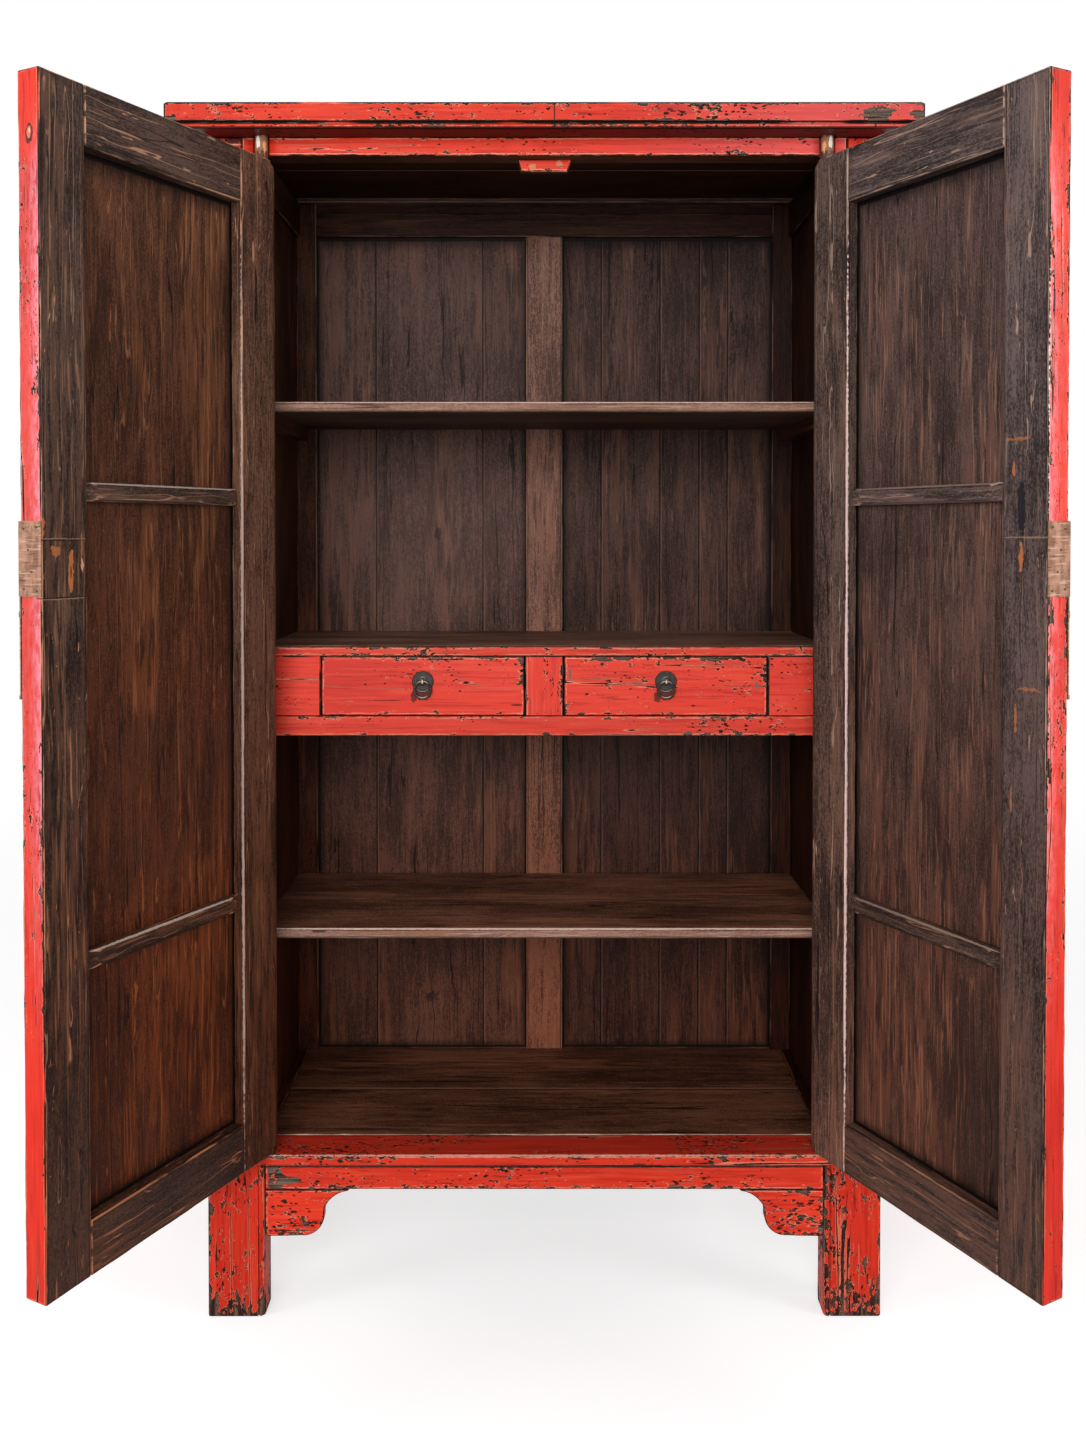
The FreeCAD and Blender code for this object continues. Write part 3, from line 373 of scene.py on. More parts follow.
# Each tone: its dark, light, warm and worn colours in thousandths, and the percentages of threads and rubbing
woodTones = {
    "door": ((16, 9, 7), (80, 46, 35), (115, 56, 36), (500, 270, 160), 25, 90),
    "hinge": ((35, 17, 11), (160, 74, 45), (215, 92, 48), (500, 270, 160), 25, 85),
    "greyHinge": ((26, 16, 14), (134, 85, 69), (170, 88, 60), (480, 320, 250), 22, 85),
    "greyDoor": ((25, 17, 16), (124, 86, 81), (145, 86, 70), (460, 290, 210), 22, 95),
    "panel": ((27, 9, 4), (102, 37, 19), (140, 50, 21), (360, 150, 70), 30, 60),
    "greyPanel": ((28, 16, 14), (104, 62, 53), (140, 66, 48), (360, 190, 130), 35, 55),
    "back": ((44, 23, 19), (142, 76, 61), (190, 90, 61), (320, 170, 115), 25, 30),
    "darkBack": ((22, 10, 8), (84, 42, 33), (130, 58, 37), (300, 160, 110), 25, 30),
    "muntin": ((85, 40, 29), (300, 150, 110), (270, 125, 85), (420, 250, 170), 25, 45),
    "shelf": ((56, 26, 18), (255, 145, 108), (290, 145, 92), (520, 300, 210), 25, 35),
    "floor": ((40, 18, 12), (180, 100, 72), (215, 105, 64), (520, 300, 210), 25, 35),
    "edge": ((200, 100, 70), (350, 195, 145), (300, 135, 80), (720, 500, 400), 30, 35),
    "side": ((20, 6, 3), (92, 30, 14), (130, 44, 20), (240, 120, 75), 15, 20),
    # a darker copy of side: painted shade on the right side's wood
    "darkSide": ((8, 2, 1), (33, 9, 4), (52, 15, 6), (160, 80, 50), 15, 20),
    "topRail": ((9, 3, 1.5), (44, 14, 7), (75, 26, 12), (200, 100, 65), 15, 20),
    "box": ((110, 60, 34), (300, 190, 120), (260, 140, 80), (400, 270, 180), 15, 20),
}
grainTurns = {"across": (0.0, -math.pi / 2, 0.0), "back": (math.pi / 2, 0.0, 0.0)}


def toneFeeds(tone):
    *colours, threads, rubbedAndHighlight = woodTones[tone]
    feeds = {"Threads": threads / 100, "Rubbed": rubbedAndHighlight / 100}
    for name, colour in zip(("Dark", "Light", "Warm", "Worn"), colours):
        feeds[name] = opaque([part / 1000 for part in colour])
    return feeds


# A door's finish and pieces are placed in the frame of the shut left door:
# X from the pivot to the free edge, Y from outside to inside
def doorFrame(side):
    mirror = Matrix.Diagonal((-1 if side == "right" else 1, 1, 1, 1))
    return Matrix.Rotation(doorTurn, 4, "Z") @ Matrix.Translation((-pivot.x, -pivot.y, 0.0)) @ mirror


def doorSide(node):
    for side in sides:
        if node.startswith(side + "_door"):
            return side
    return None


def nodePlaces(node):  # the node's points in its finish's frame
    side = doorSide(node)
    turn = doorFrame(side) if side else Matrix.Identity(4)
    return [turn @ vert.co for vert in frame["nodes"][node].data.vertices]


def boxOf(spots):
    return [Vector(pick(spot[axis] for spot in spots) for axis in range(3)) for pick in (min, max)]


def frameBox(node):
    return boxOf(nodePlaces(node))


def middleOf(node):
    low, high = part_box(node)
    return (low + high) / 2


def newTree(name):
    material = bpy.data.materials.new(name)
    material.use_nodes = True
    material.node_tree.nodes.clear()
    drawing["tree"] = material.node_tree
    return material


def placeIn(node):
    place = addNode("TexCoord").outputs["Object"]
    side = doorSide(node)
    if not side:
        return place
    feeds = {
        "Vector": place,
        "Location": doorFrame(side).translation,
        "Rotation": (0.0, 0.0, doorTurn),
        "Scale": (-1 if side == "right" else 1, 1.0, 1.0),
    }
    return addNode("Mapping", feeds).outputs[0]


def alongGrain(place, grain, seed, joins, joinAxis):  # every board has its own stretch of grain
    vector = place
    for join in joins:
        past = calc("GREATER_THAN", axes(place)[joinAxis], join)
        vector = shift("ADD", vector, vectorOf(X=past, Y=past, Z=past))
    if grain != "up":
        vector = rotated(vector, grainTurns[grain])
    return shift("ADD", vector, (seed * 3.7, seed * 1.9, seed * 5.3))


# Seams between boards, and painted shade in the corners between a panel and its frame
seam = {
    "wobble": 0.0016,
    "gap": (-0.001, 0.0006),
    "lipStart": 0.0014,
    "lipEnd": (0.003, 0.005),  # of seams that part the boards in X or in Y
    "lip": (0.32, 0.9),
    "soft": 0.0008,
    "depth": 0.92,
    "dark": (0.002, 0.001, 0.0008),
    "light": (0.22, 0.11, 0.075),
    # painted shade on the boards' undersides
    "soot": (0.016, 0.005, 0.002),
    # border and corner: bands of painted shade along the edges of a panel's opening
    "border": (0.017, 0.001),
    "borderShare": 0.7,
    "corner": (0.0042, 0.0026),
    "upperGap": {"X": 1.0, "Z": 0.55},  # the painted shade reaches farther under an upper rail
}


def boardSeams(place, colour, vector, joins, joinAxis):  # a dark gap with one lit lip
    wobble = about(noise(vector, 30.0, 1.0), seam["wobble"])
    across = plus(axes(place)[joinAxis], wobble)
    for join in joins:
        off = minus(across, join)
        lit = band(off, seam["lipStart"], seam["lipEnd"][joinAxis], seam["soft"])
        colour = tint(times(lit, seam["lip"][joinAxis]), colour, seam["light"])
        gap = band(off, *seam["gap"], seam["soft"])
        colour = tint(times(gap, seam["depth"]), colour, seam["dark"])
    return colour


# Painted shade: a panel darkens towards the edges of its opening, deepest in a narrow band at the frame
def sootBorder(place, vector, colour, opening):
    spots = axes(place)
    gaps = []
    for axis, (low, high) in opening.items():
        above = times(minus(high, spots[axis]), seam["upperGap"][axis])
        gaps += [minus(spots[axis], low), above]
    nearest = gaps[0]
    for gap in gaps[1:]:
        nearest = smaller(nearest, gap)
    nearest = plus(about(noise(vector, 90.0, 2.0), seam["wobble"]), nearest)
    colour = tint(fade(nearest, *seam["border"], seam["borderShare"]), colour, seam["dark"])
    return tint(fade(nearest, *seam["corner"], seam["depth"]), colour, seam["dark"])


def arrisOf(node, place, lips):  # lips are heights of moulded edges
    low, high = frameBox(node)
    worn = addNode("Attribute", attribute_name="worn").outputs["Fac"]
    away = placeGroup(arrisGroup, {"Vector": place, "Low": low, "High": high, "Worn": worn})["Away"]
    for lip in lips:
        rise = calc("ABSOLUTE", minus(axes(place)["Z"], lip))
        away = smaller(away, times(rise, 2.6))
    return away


def startMaterial(node, grain, seed, joins=(), joinAxis=0, lips=()):
    material = newTree(node)
    place = placeIn(node)
    return material, place, arrisOf(node, place, lips), alongGrain(place, grain, seed, joins, joinAxis)


# A mark is a ragged ellipsoid: a stain in its colour, or without a colour a bare spot in the lacquer
def mark(at, size, colour=None, ragged=1.4, strength=0.9):
    return {"at": at, "size": size, "colour": colour, "ragged": ragged, "strength": strength}


def bareSpot(at, size, strength=1.0):
    return mark(at, size, strength=strength)


def markMask(place, spot):
    feeds = {"Vector": place, "Centre": spot["at"], "Size": spot["size"], "Ragged": spot["ragged"]}
    return times(placeGroup(spotGroup, feeds)["Within"], spot["strength"])


def addMarks(place, colour, marks):
    for spot in marks:
        if spot["colour"]:
            colour = tint(markMask(place, spot), colour, spot["colour"])
    return colour


def closeMaterial(surface, depth=0.0011, strength=0.55, shine=0.12, metallic=0.0):
    colour, rough, height = surface
    bump = addNode("Bump", {"Height": height, "Distance": depth, "Strength": strength})
    feeds = {"Base Color": colour, "Roughness": rough, "Metallic": metallic}
    feeds.update({"Normal": bump.outputs[0], "Specular IOR Level": shine})
    link(addNode("BsdfPrincipled", feeds).outputs[0], addNode("OutputMaterial").inputs[0])


# The wood's colour changes with height: warmer low down, and lighter at the top of the left door
heightTones = {"lowFade": (1.45, 0.3), "highFade": (1.4, 1.72), "tint": (0.92, 0.62, 0.46)}
lowTints = {
    "panel": (1.15, 0.68, 0.38),
    "hinge": (0.52, 0.34, 0.25),
    "greyHinge": (1.18, 0.92, 0.8),
    "greyDoor": (0.74, 0.54, 0.44),
    "edge": (1.0, 1.0, 1.0),
}
highTints = {"panel": (1.42, 1.5, 1.55), "door": (1.22, 1.18, 1.18), "hinge": (1.22, 1.12, 1.12)}


def woodSurface(place, vector, arris, tone):
    made = placeGroup(woodGroup, dict(toneFeeds(tone), Vector=vector, Away=arris))
    height = axes(place)["Z"]
    lowFade = fade(height, *heightTones["lowFade"])
    colour = tint(lowFade, made["Colour"], lowTints.get(tone, heightTones["tint"]), "MULTIPLY")
    if tone in highTints:
        colour = tint(fade(height, *heightTones["highFade"]), colour, highTints[tone], "MULTIPLY")
    return colour, made["Rough"], made["Height"]


def blendSurfaces(share, first, second):
    colour = tint(share, first[0], second[0])
    mixes = [addNode("Mix", {0: share, 2: first[spot], 3: second[spot]}) for spot in (1, 2)]
    return (colour, *(mix.outputs[0] for mix in mixes))


def sooted(colour, soot, shade):  # darkens the faces that look one way: painted shade on undersides, and old soot on the sill's top
    way, amount = soot
    return tint(times(faces(way), amount), colour, shade)


def woodMaterial(node, grain, seed, tone, joins=(), joinAxis=0,
                 marks=(), frontTone=None, opening=None, soot=None):
    material, place, arris, vector = startMaterial(node, grain, seed, joins, joinAxis)
    surface = woodSurface(place, vector, arris, tone)
    if frontTone:
        front = woodSurface(place, vector, arris, frontTone)
        surface = blendSurfaces(faces(forward), surface, front)
    colour, rough, height = surface
    if soot:
        colour = sooted(colour, soot, seam["soot"])
    colour = boardSeams(place, colour, vector, joins, joinAxis)
    # painted shade at the edges of the panel's opening
    if opening:
        colour = sootBorder(place, vector, colour, opening)
    closeMaterial((addMarks(place, colour, marks), rough, height))
    return material


# Posts are red all round below the sill, and their legs are darker and more chipped
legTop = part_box("sill_rail")[0].z
legLook = {
    "foot": 0.075,
    "footChips": 0.62,
    "legFade": (0.6, 0.18),
    "legChips": 0.19,
    "darkFade": (0.36, 0.24),
    "dark": (0.88, 0.72, 0.68),
}


def bareness(place, marks, hasLeg):
    bare = 0.0
    for spot in marks:
        if not spot["colour"]:
            bare = larger(bare, markMask(place, spot))
    if hasLeg:
        height = axes(place)["Z"]
        foot = fade(height, legLook["foot"], legLook["foot"] * 0.1, legLook["footChips"])
        leg = fade(height, *legLook["legFade"], legLook["legChips"])
        bare = larger(bare, larger(foot, leg))
    return bare


# Chips: how much lacquer is gone, how cracked and how knocked. Pale: where along X it fades, and how much.
# A piece with a red side has lacquer only there and beyond the given X
def redMaterial(node, grain, seed, chips=(0.0, 0.8, 0.8), redSide=None, tone="shelf", joins=(), hasLeg=False,
                marks=(), lips=(), outline=0.0014, beyond=None, soot=None, pale=None, dim=None):
    material, place, arris, vector = startMaterial(node, grain, seed, joins, lips=lips)
    feeds = dict(zip(("Amount", "Cracks", "Knocks"), chips), Vector=vector, Away=arris, Outline=outline)
    feeds["Bare"] = bareness(place, marks, hasLeg)
    if pale:
        feeds["Pale"] = fade(axes(place)["X"], *pale)
    red = placeGroup(lacquerGroup, feeds)
    colour, rough, height = (red[name] for name in surfaceOutputs)
    if hasLeg:
        low = fade(axes(place)["Z"], *legLook["darkFade"])
        colour = tint(low, colour, legLook["dark"], "MULTIPLY")
    # a painted shade over the whole piece
    if dim:
        colour = tint(1.0, colour, dim, "MULTIPLY")
    if soot:
        colour = sooted(colour, soot, lacquerLook["soot"])
    if redSide:
        share = faces(redSide)
        if beyond:
            wobble = about(noise(vector, 45.0, 2.0), 0.006)
            outer = plus(calc("ABSOLUTE", axes(place)["X"]), wobble)
            share = larger(share, calc("GREATER_THAN", outer, beyond))
        if hasLeg:
            share = larger(share, calc("LESS_THAN", axes(place)["Z"], legTop))
        wood = woodSurface(place, vector, arris, tone)
        colour, rough, height = blendSurfaces(share, wood, (colour, rough, height))
    closeMaterial((addMarks(place, colour, marks), rough, height))
    return material


doorLook = {
    "freeEdge": 0.4145,
    "innerFace": 0.0172,
    "outerFace": -0.0145,
    "ragged": 0.0025,
    "lacquer": {"Amount": -0.018, "Cracks": 0.5, "Outline": 0.0014},
    "knocks": (0.15, 0.5),  # more on the free edge, and on the rest
    "paintedSheenFades": ((0.45, 0.95), (1.7, 1.56)),  # heights over which the free edge's painted sheen fades in and out
    "deepFades": ((0.9, 0.45), (1.58, 1.7)),  # heights where it is deep red
    # painted shade on the left door's lacquer, painted light on the right door's
    "paintedLightAndShade": {"left": (0.84, 0.88, 0.97), "right": (1.08, 0.97, 0.94)},
    "deepShade": (0.93, 0.56, 0.5),
}


# Lacquer outside and on the free edge, wood inside
def doorMaterial(node, grain, seed, tone, marks=(), opening=None):
    look = doorLook
    material, place, arris, vector = startMaterial(node, grain, seed)
    wobble = about(noise(vector, 60.0, 3.0), look["ragged"])
    spots = axes(place)
    freeEdge = calc("GREATER_THAN", plus(spots["X"], wobble), look["freeEdge"])
    inside = calc("GREATER_THAN", plus(spots["Y"], wobble), look["innerFace"])
    outside = calc("LESS_THAN", spots["Y"], look["outerFace"])
    share = larger(times(freeEdge, minus(1.0, inside)), outside)
    # A painted sheen on the free edge: pink patches, strongest towards the inner face and at mid height
    patches = fade(grained(vector, 0.4, 130.0, 3.0, 0.7), 0.36, 0.64)
    paintedSheen = times(scaled(patches, 0.75, 0.2), freeEdge)
    paintedSheen = times(paintedSheen, scaled(fade(spots["Y"], -0.006, 0.018), 0.8, 0.16))
    for ends in look["paintedSheenFades"]:
        paintedSheen = times(paintedSheen, fade(spots["Z"], *ends))
    knocks = scaled(freeEdge, *look["knocks"])
    feeds = dict(look["lacquer"], Vector=vector, Away=arris, Pale=paintedSheen, Knocks=knocks)
    red = placeGroup(lacquerGroup, feeds)
    # Painted shade on the left door's lacquer and painted light on the right door's; a deeper red low down and at
    # the top
    deep = larger(*(fade(spots["Z"], *ends) for ends in look["deepFades"]))
    shade = tint(deep, look["paintedLightAndShade"][doorSide(node)], look["deepShade"])
    lacquer = (tint(1.0, red["Colour"], shade, "MULTIPLY"), red["Rough"], red["Height"])
    wood = woodSurface(place, vector, arris, tone)
    colour, rough, height = blendSurfaces(share, wood, lacquer)
    # painted shade at the edges of the panel's opening
    if opening:
        colour = sootBorder(place, vector, colour, opening)
    closeMaterial((addMarks(place, colour, marks), rough, height))
    return material


# A copy of a wooden node with its arrises rounded and nicked, as handled wood is
wear = {
    "round": 0.0017,
    "segments": 2,
    "sharp": math.radians(30),
    "room": 3.2,
    "step": 0.018,
    "nick": 0.0014,
    "waves": ((55.0, 1.0), (140.0, 0.6)),
    "depth": 0.25,
    "flat": math.radians(0.6),
}


def roomBeside(edge, face):  # how far the face reaches from the edge's line
    start = edge.verts[0].co
    along = (edge.verts[1].co - start).normalized()
    offsets = [vert.co - start for vert in face.verts]
    return max((offset - along * offset.dot(along)).length for offset in offsets)


def isArris(edge, rounding):
    if not edge.is_manifold or not edge.is_convex or edge.calc_face_angle() < wear["sharp"]:
        return False
    return min(roomBeside(edge, face) for face in edge.link_faces) > rounding * wear["room"]


def cutStations(form, low, high):
    span = high - low
    axis = max(range(3), key=lambda spot: span[spot])
    count = int(span[axis] / wear["step"])
    for station in range(1, count):
        spot, facing = low.copy(), Vector((0.0, 0.0, 0.0))
        spot[axis] += span[axis] * station / count
        facing[axis] = 1.0
        parts = form.verts[:] + form.edges[:] + form.faces[:]
        bmesh.ops.bisect_plane(form, geom=parts, dist=1e-6, plane_co=spot, plane_no=facing)


def nickArrises(rounded, layer):
    for vert in {vert for face in rounded for vert in face.verts}:
        if not all(near[layer] == 1.0 for near in vert.link_faces):
            continue
        depth = sum(share * fields.noise(vert.co * scale) for scale, share in wear["waves"]) + wear["depth"]
        vert.co -= vert.normal * max(0.0, depth) * wear["nick"]


def placeForm(form, name, material):
    mesh = bpy.data.meshes.new(name)
    form.to_mesh(mesh)
    form.free()
    mesh.materials.append(material)
    piece = bpy.data.objects.new(name, mesh)
    bpy.context.scene.collection.objects.link(piece)
    return piece


def wornCopy(node, material, rounding=None):
    rounding = rounding or wear["round"]
    angle = {"left": doorTurn, "right": -doorTurn}.get(doorSide(node), 0.0)
    turn = Matrix.Rotation(angle, 4, "Z")
    form = bmesh.new()
    form.from_mesh(frame["nodes"][node].data)
    form.transform(turn)
    bmesh.ops.remove_doubles(form, verts=form.verts[:], dist=1e-5)
    bmesh.ops.dissolve_limit(form, angle_limit=wear["flat"], verts=form.verts[:], edges=form.edges[:])
    for face in form.faces:
        bends = [edge.calc_face_angle(0.0) for edge in face.edges if edge.is_manifold]
        face.smooth = any(wear["flat"] < bend < wear["sharp"] for bend in bends)
    for edge in form.edges:
        edge.seam = isArris(edge, rounding)
    low, high = boxOf([vert.co for vert in form.verts])
    cutStations(form, low, high)
    arrises = [edge for edge in form.edges if edge.seam]
    for edge in form.edges:
        edge.seam = False
    wornLayer = form.faces.layers.float.new("worn")
    made = bmesh.ops.bevel(form, geom=arrises, offset=rounding, offset_type="OFFSET", affect="EDGES",
                           segments=wear["segments"], profile=0.5, clamp_overlap=False, material=-1)
    rounded = made["faces"]
    for face in rounded:
        face[wornLayer] = 1.0
        face.smooth = False
    form.normal_update()
    nickArrises(rounded, wornLayer)
    for vert in form.verts:
        vert.co = [min(max(place, least), most) for place, least, most in zip(vert.co, low, high)]
    form.transform(turn.inverted())
    piece = placeForm(form, node + "_worn", material)
    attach(piece, bodyOf[node])
    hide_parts(node)


def paint(node, material):
    for slot in frame["nodes"][node].material_slots:
        slot.material = material


def redPiece(node, grain, seed, rounding=None, **settings):
    wornCopy(node, redMaterial(node, grain, seed, **settings), rounding)


def woodPiece(node, grain, seed, tone, slot="case_wood", **settings):
    wornCopy(node, woodMaterial(node, grain, seed, tone, **settings))


# The case's side frames and posts
void = (0.02, 0.006, 0.004)
upward, down = (0, 0, 1), (0, 0, -1)
# The right side's wood is a darker copy of the left's tone: painted shade
sideTones = {"left": "side", "right": "darkSide"}
panelMiddle = middleOf("side_panel_right").x
recessMarks = (  # a small recess under the cornice: painted shade inside it, and a painted highlight on its lower lip
    mark((-0.4597, -0.0213, 1.7571), (0.012, 0.01, 0.0078), (0.035, 0.006, 0.005), 0.5),
    mark((-0.4597, -0.0213, 1.749), (0.012, 0.01, 0.0011), (0.7, 0.3, 0.2), 0.8),
)
corniceLook = {
    "lips": (1.7694, 1.7672),  # heights of the fascia's lower lip and of the bead's upper edge
    "outline": 0.003,
    # painted shade on the cornice's underside
    "soot": (down, 0.85),
}


def finishSides():
    for seed, side in enumerate(sides):
        way = -1 if side == "left" else 1
        outside = {"redSide": (way, 0, 0), "tone": sideTones[side]}
        post = {"tone": sideTones[side], "hasLeg": True, "beyond": panelMiddle}
        redPiece("front_post_" + side, "up", seed + 1, 0.0022, chips=(0.022, 1.5, 1.2), redSide=(way, -2, 0),
                 marks=recessMarks if side == "left" else (), **post)
        redPiece("rear_post_" + side, "up", seed + 3, 0.0022, redSide=(way, 0.6, 0), **post)
        redPiece("cornice_" + side, "back", seed + 5, 0.0022, chips=(0.02, 0.8, 0.8), **corniceLook)
        redPiece("apron_bracket_" + side, "across", seed + 7, chips=(0.03, 0.8, 1.2))
        redPiece("side_panel_" + side, "up", seed + 9, chips=(-0.02, 0.8, 0.6), **outside)
        for node in ("side_top_rail_", "side_bottom_rail_"):
            redPiece(node + side, "back", seed + 11, chips=(0.0, 0.8, 0.6), beyond=panelMiddle, **outside)


# The case's front
fasciaMarks = (
    bareSpot((-0.545, -0.066, 1.772), (0.02, 0.02, 0.006)),
    bareSpot((0.545, -0.066, 1.797), (0.014, 0.02, 0.006)),
    bareSpot((0.4799, -0.066, 1.7785), (0.024, 0.02, 0.01)),
    bareSpot((0.5378, -0.066, 1.7785), (0.012, 0.02, 0.006)),
    # a painted shade line along the bead's lower edge
    mark((0.0, -0.06, 1.76), (0.62, 0.004, 0.0012), (0.012, 0.003, 0.002), 0.5),
    mark((0.0145, -0.066, 1.78), (0.0012, 0.02, 0.05), (0.02, 0.008, 0.006), 0.8),
)
stopMarks = (
    mark((-0.018, -0.002, 1.722), (0.006, 0.01, 0.004), (0.55, 0.22, 0.1)),
    mark((0.022, -0.002, 1.727), (0.005, 0.01, 0.004), (0.5, 0.2, 0.1)),
)
noseFront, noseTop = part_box("sill_rail")[0].y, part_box("sill_rail")[1].z
noseMarks = (
    mark((0.0, noseFront, noseTop), (0.62, 0.0034, 0.0019), (0.78, 0.34, 0.25), 1.1, 0.75),
    # a painted shadow and grime line along the nose's lower arris
    mark((0.0, noseFront, noseTop - 0.016), (0.62, 0.003, 0.0013), lacquerLook["underCoatAndShadow"], 0.8),
)
apronMarks = (
    bareSpot((-0.403, -0.0183, 0.212), (0.012, 0.02, 0.026)),
    bareSpot((-0.385, -0.0183, 0.205), (0.018, 0.02, 0.006)),
    # a painted shadow and grime line on the apron just under the sill's nose
    mark((0.0, -0.0183, 0.2258), (0.62, 0.004, 0.0018), lacquerLook["underCoatAndShadow"], 0.8),
)
caseFade = (-2.0, -1.0, 0.045)  # the drawer case has faded all over


def finishFront():
    dim = lacquerLook["dim"]
    redPiece("cornice_front", "across", 21, 0.0022, chips=(0.03, 0.4, 1.1), marks=fasciaMarks,
             pale=(0.05, 0.45, 0.16), dim=dim, **corniceLook)
    bare = {"redSide": forward, "tone": "side"}
    redPiece("head_rail", "across", 23, chips=(-0.03, 0.12, 1.0), pale=(0.0, 0.4, 0.18), **bare)
    redPiece("door_stop_block", "across", 24, chips=(0.0, 0.6, 0.6), marks=stopMarks, **bare)
    redPiece("sill_rail", "across", 25, 0.002, chips=(0.018, 1.3, 1.0), marks=noseMarks, soot=(upward, 0.3))
    redPiece("apron", "across", 26, chips=(0.034, 0.9, 1.2), marks=apronMarks)
    drawerCase = {"chips": (-0.014, 0.3, 0.8), "redSide": forward, "outline": 0.0005, "pale": caseFade}
    redPiece("drawer_case_top_rail", "across", 27, dim=dim, **drawerCase)
    redPiece("drawer_case_bottom_rail", "across", 28, dim=dim, **drawerCase)
    redPiece("drawer_case_divider", "up", 29, **drawerCase)
    redPiece("drawer_case_ends", "across", 30, joins=(0.0,), **drawerCase)


# The boards: each is glued up from two, and the shelves' upper front arrises are rubbed
boardTones = {
    "top_boards": "side",
    "upper_shelf": "shelf",
    "lower_shelf": "shelf",
    "drawer_case_board": "shelf",
    "drawer_case_floor": "shelf",
    "floor_boards": "floor",
}


def finishBoards():
    for seed, (node, tone) in enumerate(boardTones.items()):
        low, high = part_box(node)
        join = low.y + (high.y - low.y) * 0.48
        lip = mark((0.0, low.y, high.z), (0.62, 0.0028, 0.002), (0.7, 0.5, 0.41), 0.8, 0.85)
        # the boards' undersides get a painted shade
        woodPiece(node, "across", seed + 31, tone, "shelf_wood", joins=(join,), joinAxis=1, frontTone="edge",
                  marks=(lip,) if node.endswith("_shelf") else (), soot=(down, 0.69))
    paint("shelf_runners", woodMaterial("shelf_runners", "back", 38, "side"))


# The back, with knots and broad stains on its panels
def knot(x, z, wide, high):
    return mark((x, 0.33, z), (wide, 0.05, high), (0.012, 0.006, 0.005), 1.7, 0.65)


# a patch of colour: stains on the back, and a painted shade on the left door's panel
def stainAndShade(at, size, strength, colour=(0.016, 0.009, 0.008)):
    return mark(at, size, colour, 0.8, strength)


backJoints = {"left": (0.29, 0.78), "right": (0.2, 0.47, 0.65, 0.78)}
backTones = {"left": "back", "right": "darkBack"}
backMarks = {
    "left": (
        stainAndShade((-0.15, 0.33, 1.56), (0.16, 0.1, 0.13), 0.26),
        stainAndShade((-0.215, 0.33, 1.18), (0.2, 0.1, 0.18), 0.11, (0.24, 0.135, 0.11)),
        knot(-0.19, 1.174, 0.007, 0.014),
        knot(-0.158, 1.534, 0.005, 0.01),
        knot(-0.202, 0.342, 0.012, 0.01),
    ),
    "right": (stainAndShade((0.215, 0.33, 0.72), (0.2, 0.1, 0.14), 0.18), knot(0.12, 1.47, 0.005, 0.01)),
}


def finishBack():
    woodPiece("cornice_rear", "across", 22, "back")
    woodPiece("back_top_rail", "across", 39, "topRail")
    woodPiece("back_bottom_rail", "across", 40, "back")
    woodPiece("back_muntin", "up", 42, "muntin")
    openings = {
        "left": (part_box("rear_post_left")[1].x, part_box("back_muntin")[0].x),
        "right": (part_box("back_muntin")[1].x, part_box("rear_post_right")[0].x),
    }
    rise = (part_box("back_bottom_rail")[1].z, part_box("back_top_rail")[0].z)
    for side, shares in backJoints.items():
        node = "back_panel_" + side
        low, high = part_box(node)
        joins = [low.x + (high.x - low.x) * share for share in shares]
        opening = {"X": openings[side], "Z": rise}
        paint(node, woodMaterial(node, "up", 43 + len(joins), backTones[side], joins, marks=backMarks[side],
                                 opening=opening))


# The doors. Their marks lie in the shut left door's frame, on the free edge or on the inner face,
# and are given by their place, half width and half height in millimetres
def edgeMark(y, z, wide, high, *look):
    return mark((0.4175, y / 1000, z / 1000), (0.01, wide / 1000, high / 1000), *look)


def faceMark(x, z, wide, high, *look):
    return mark((x / 1000, 0.018, z / 1000), (wide / 1000, 0.01, high / 1000), *look)


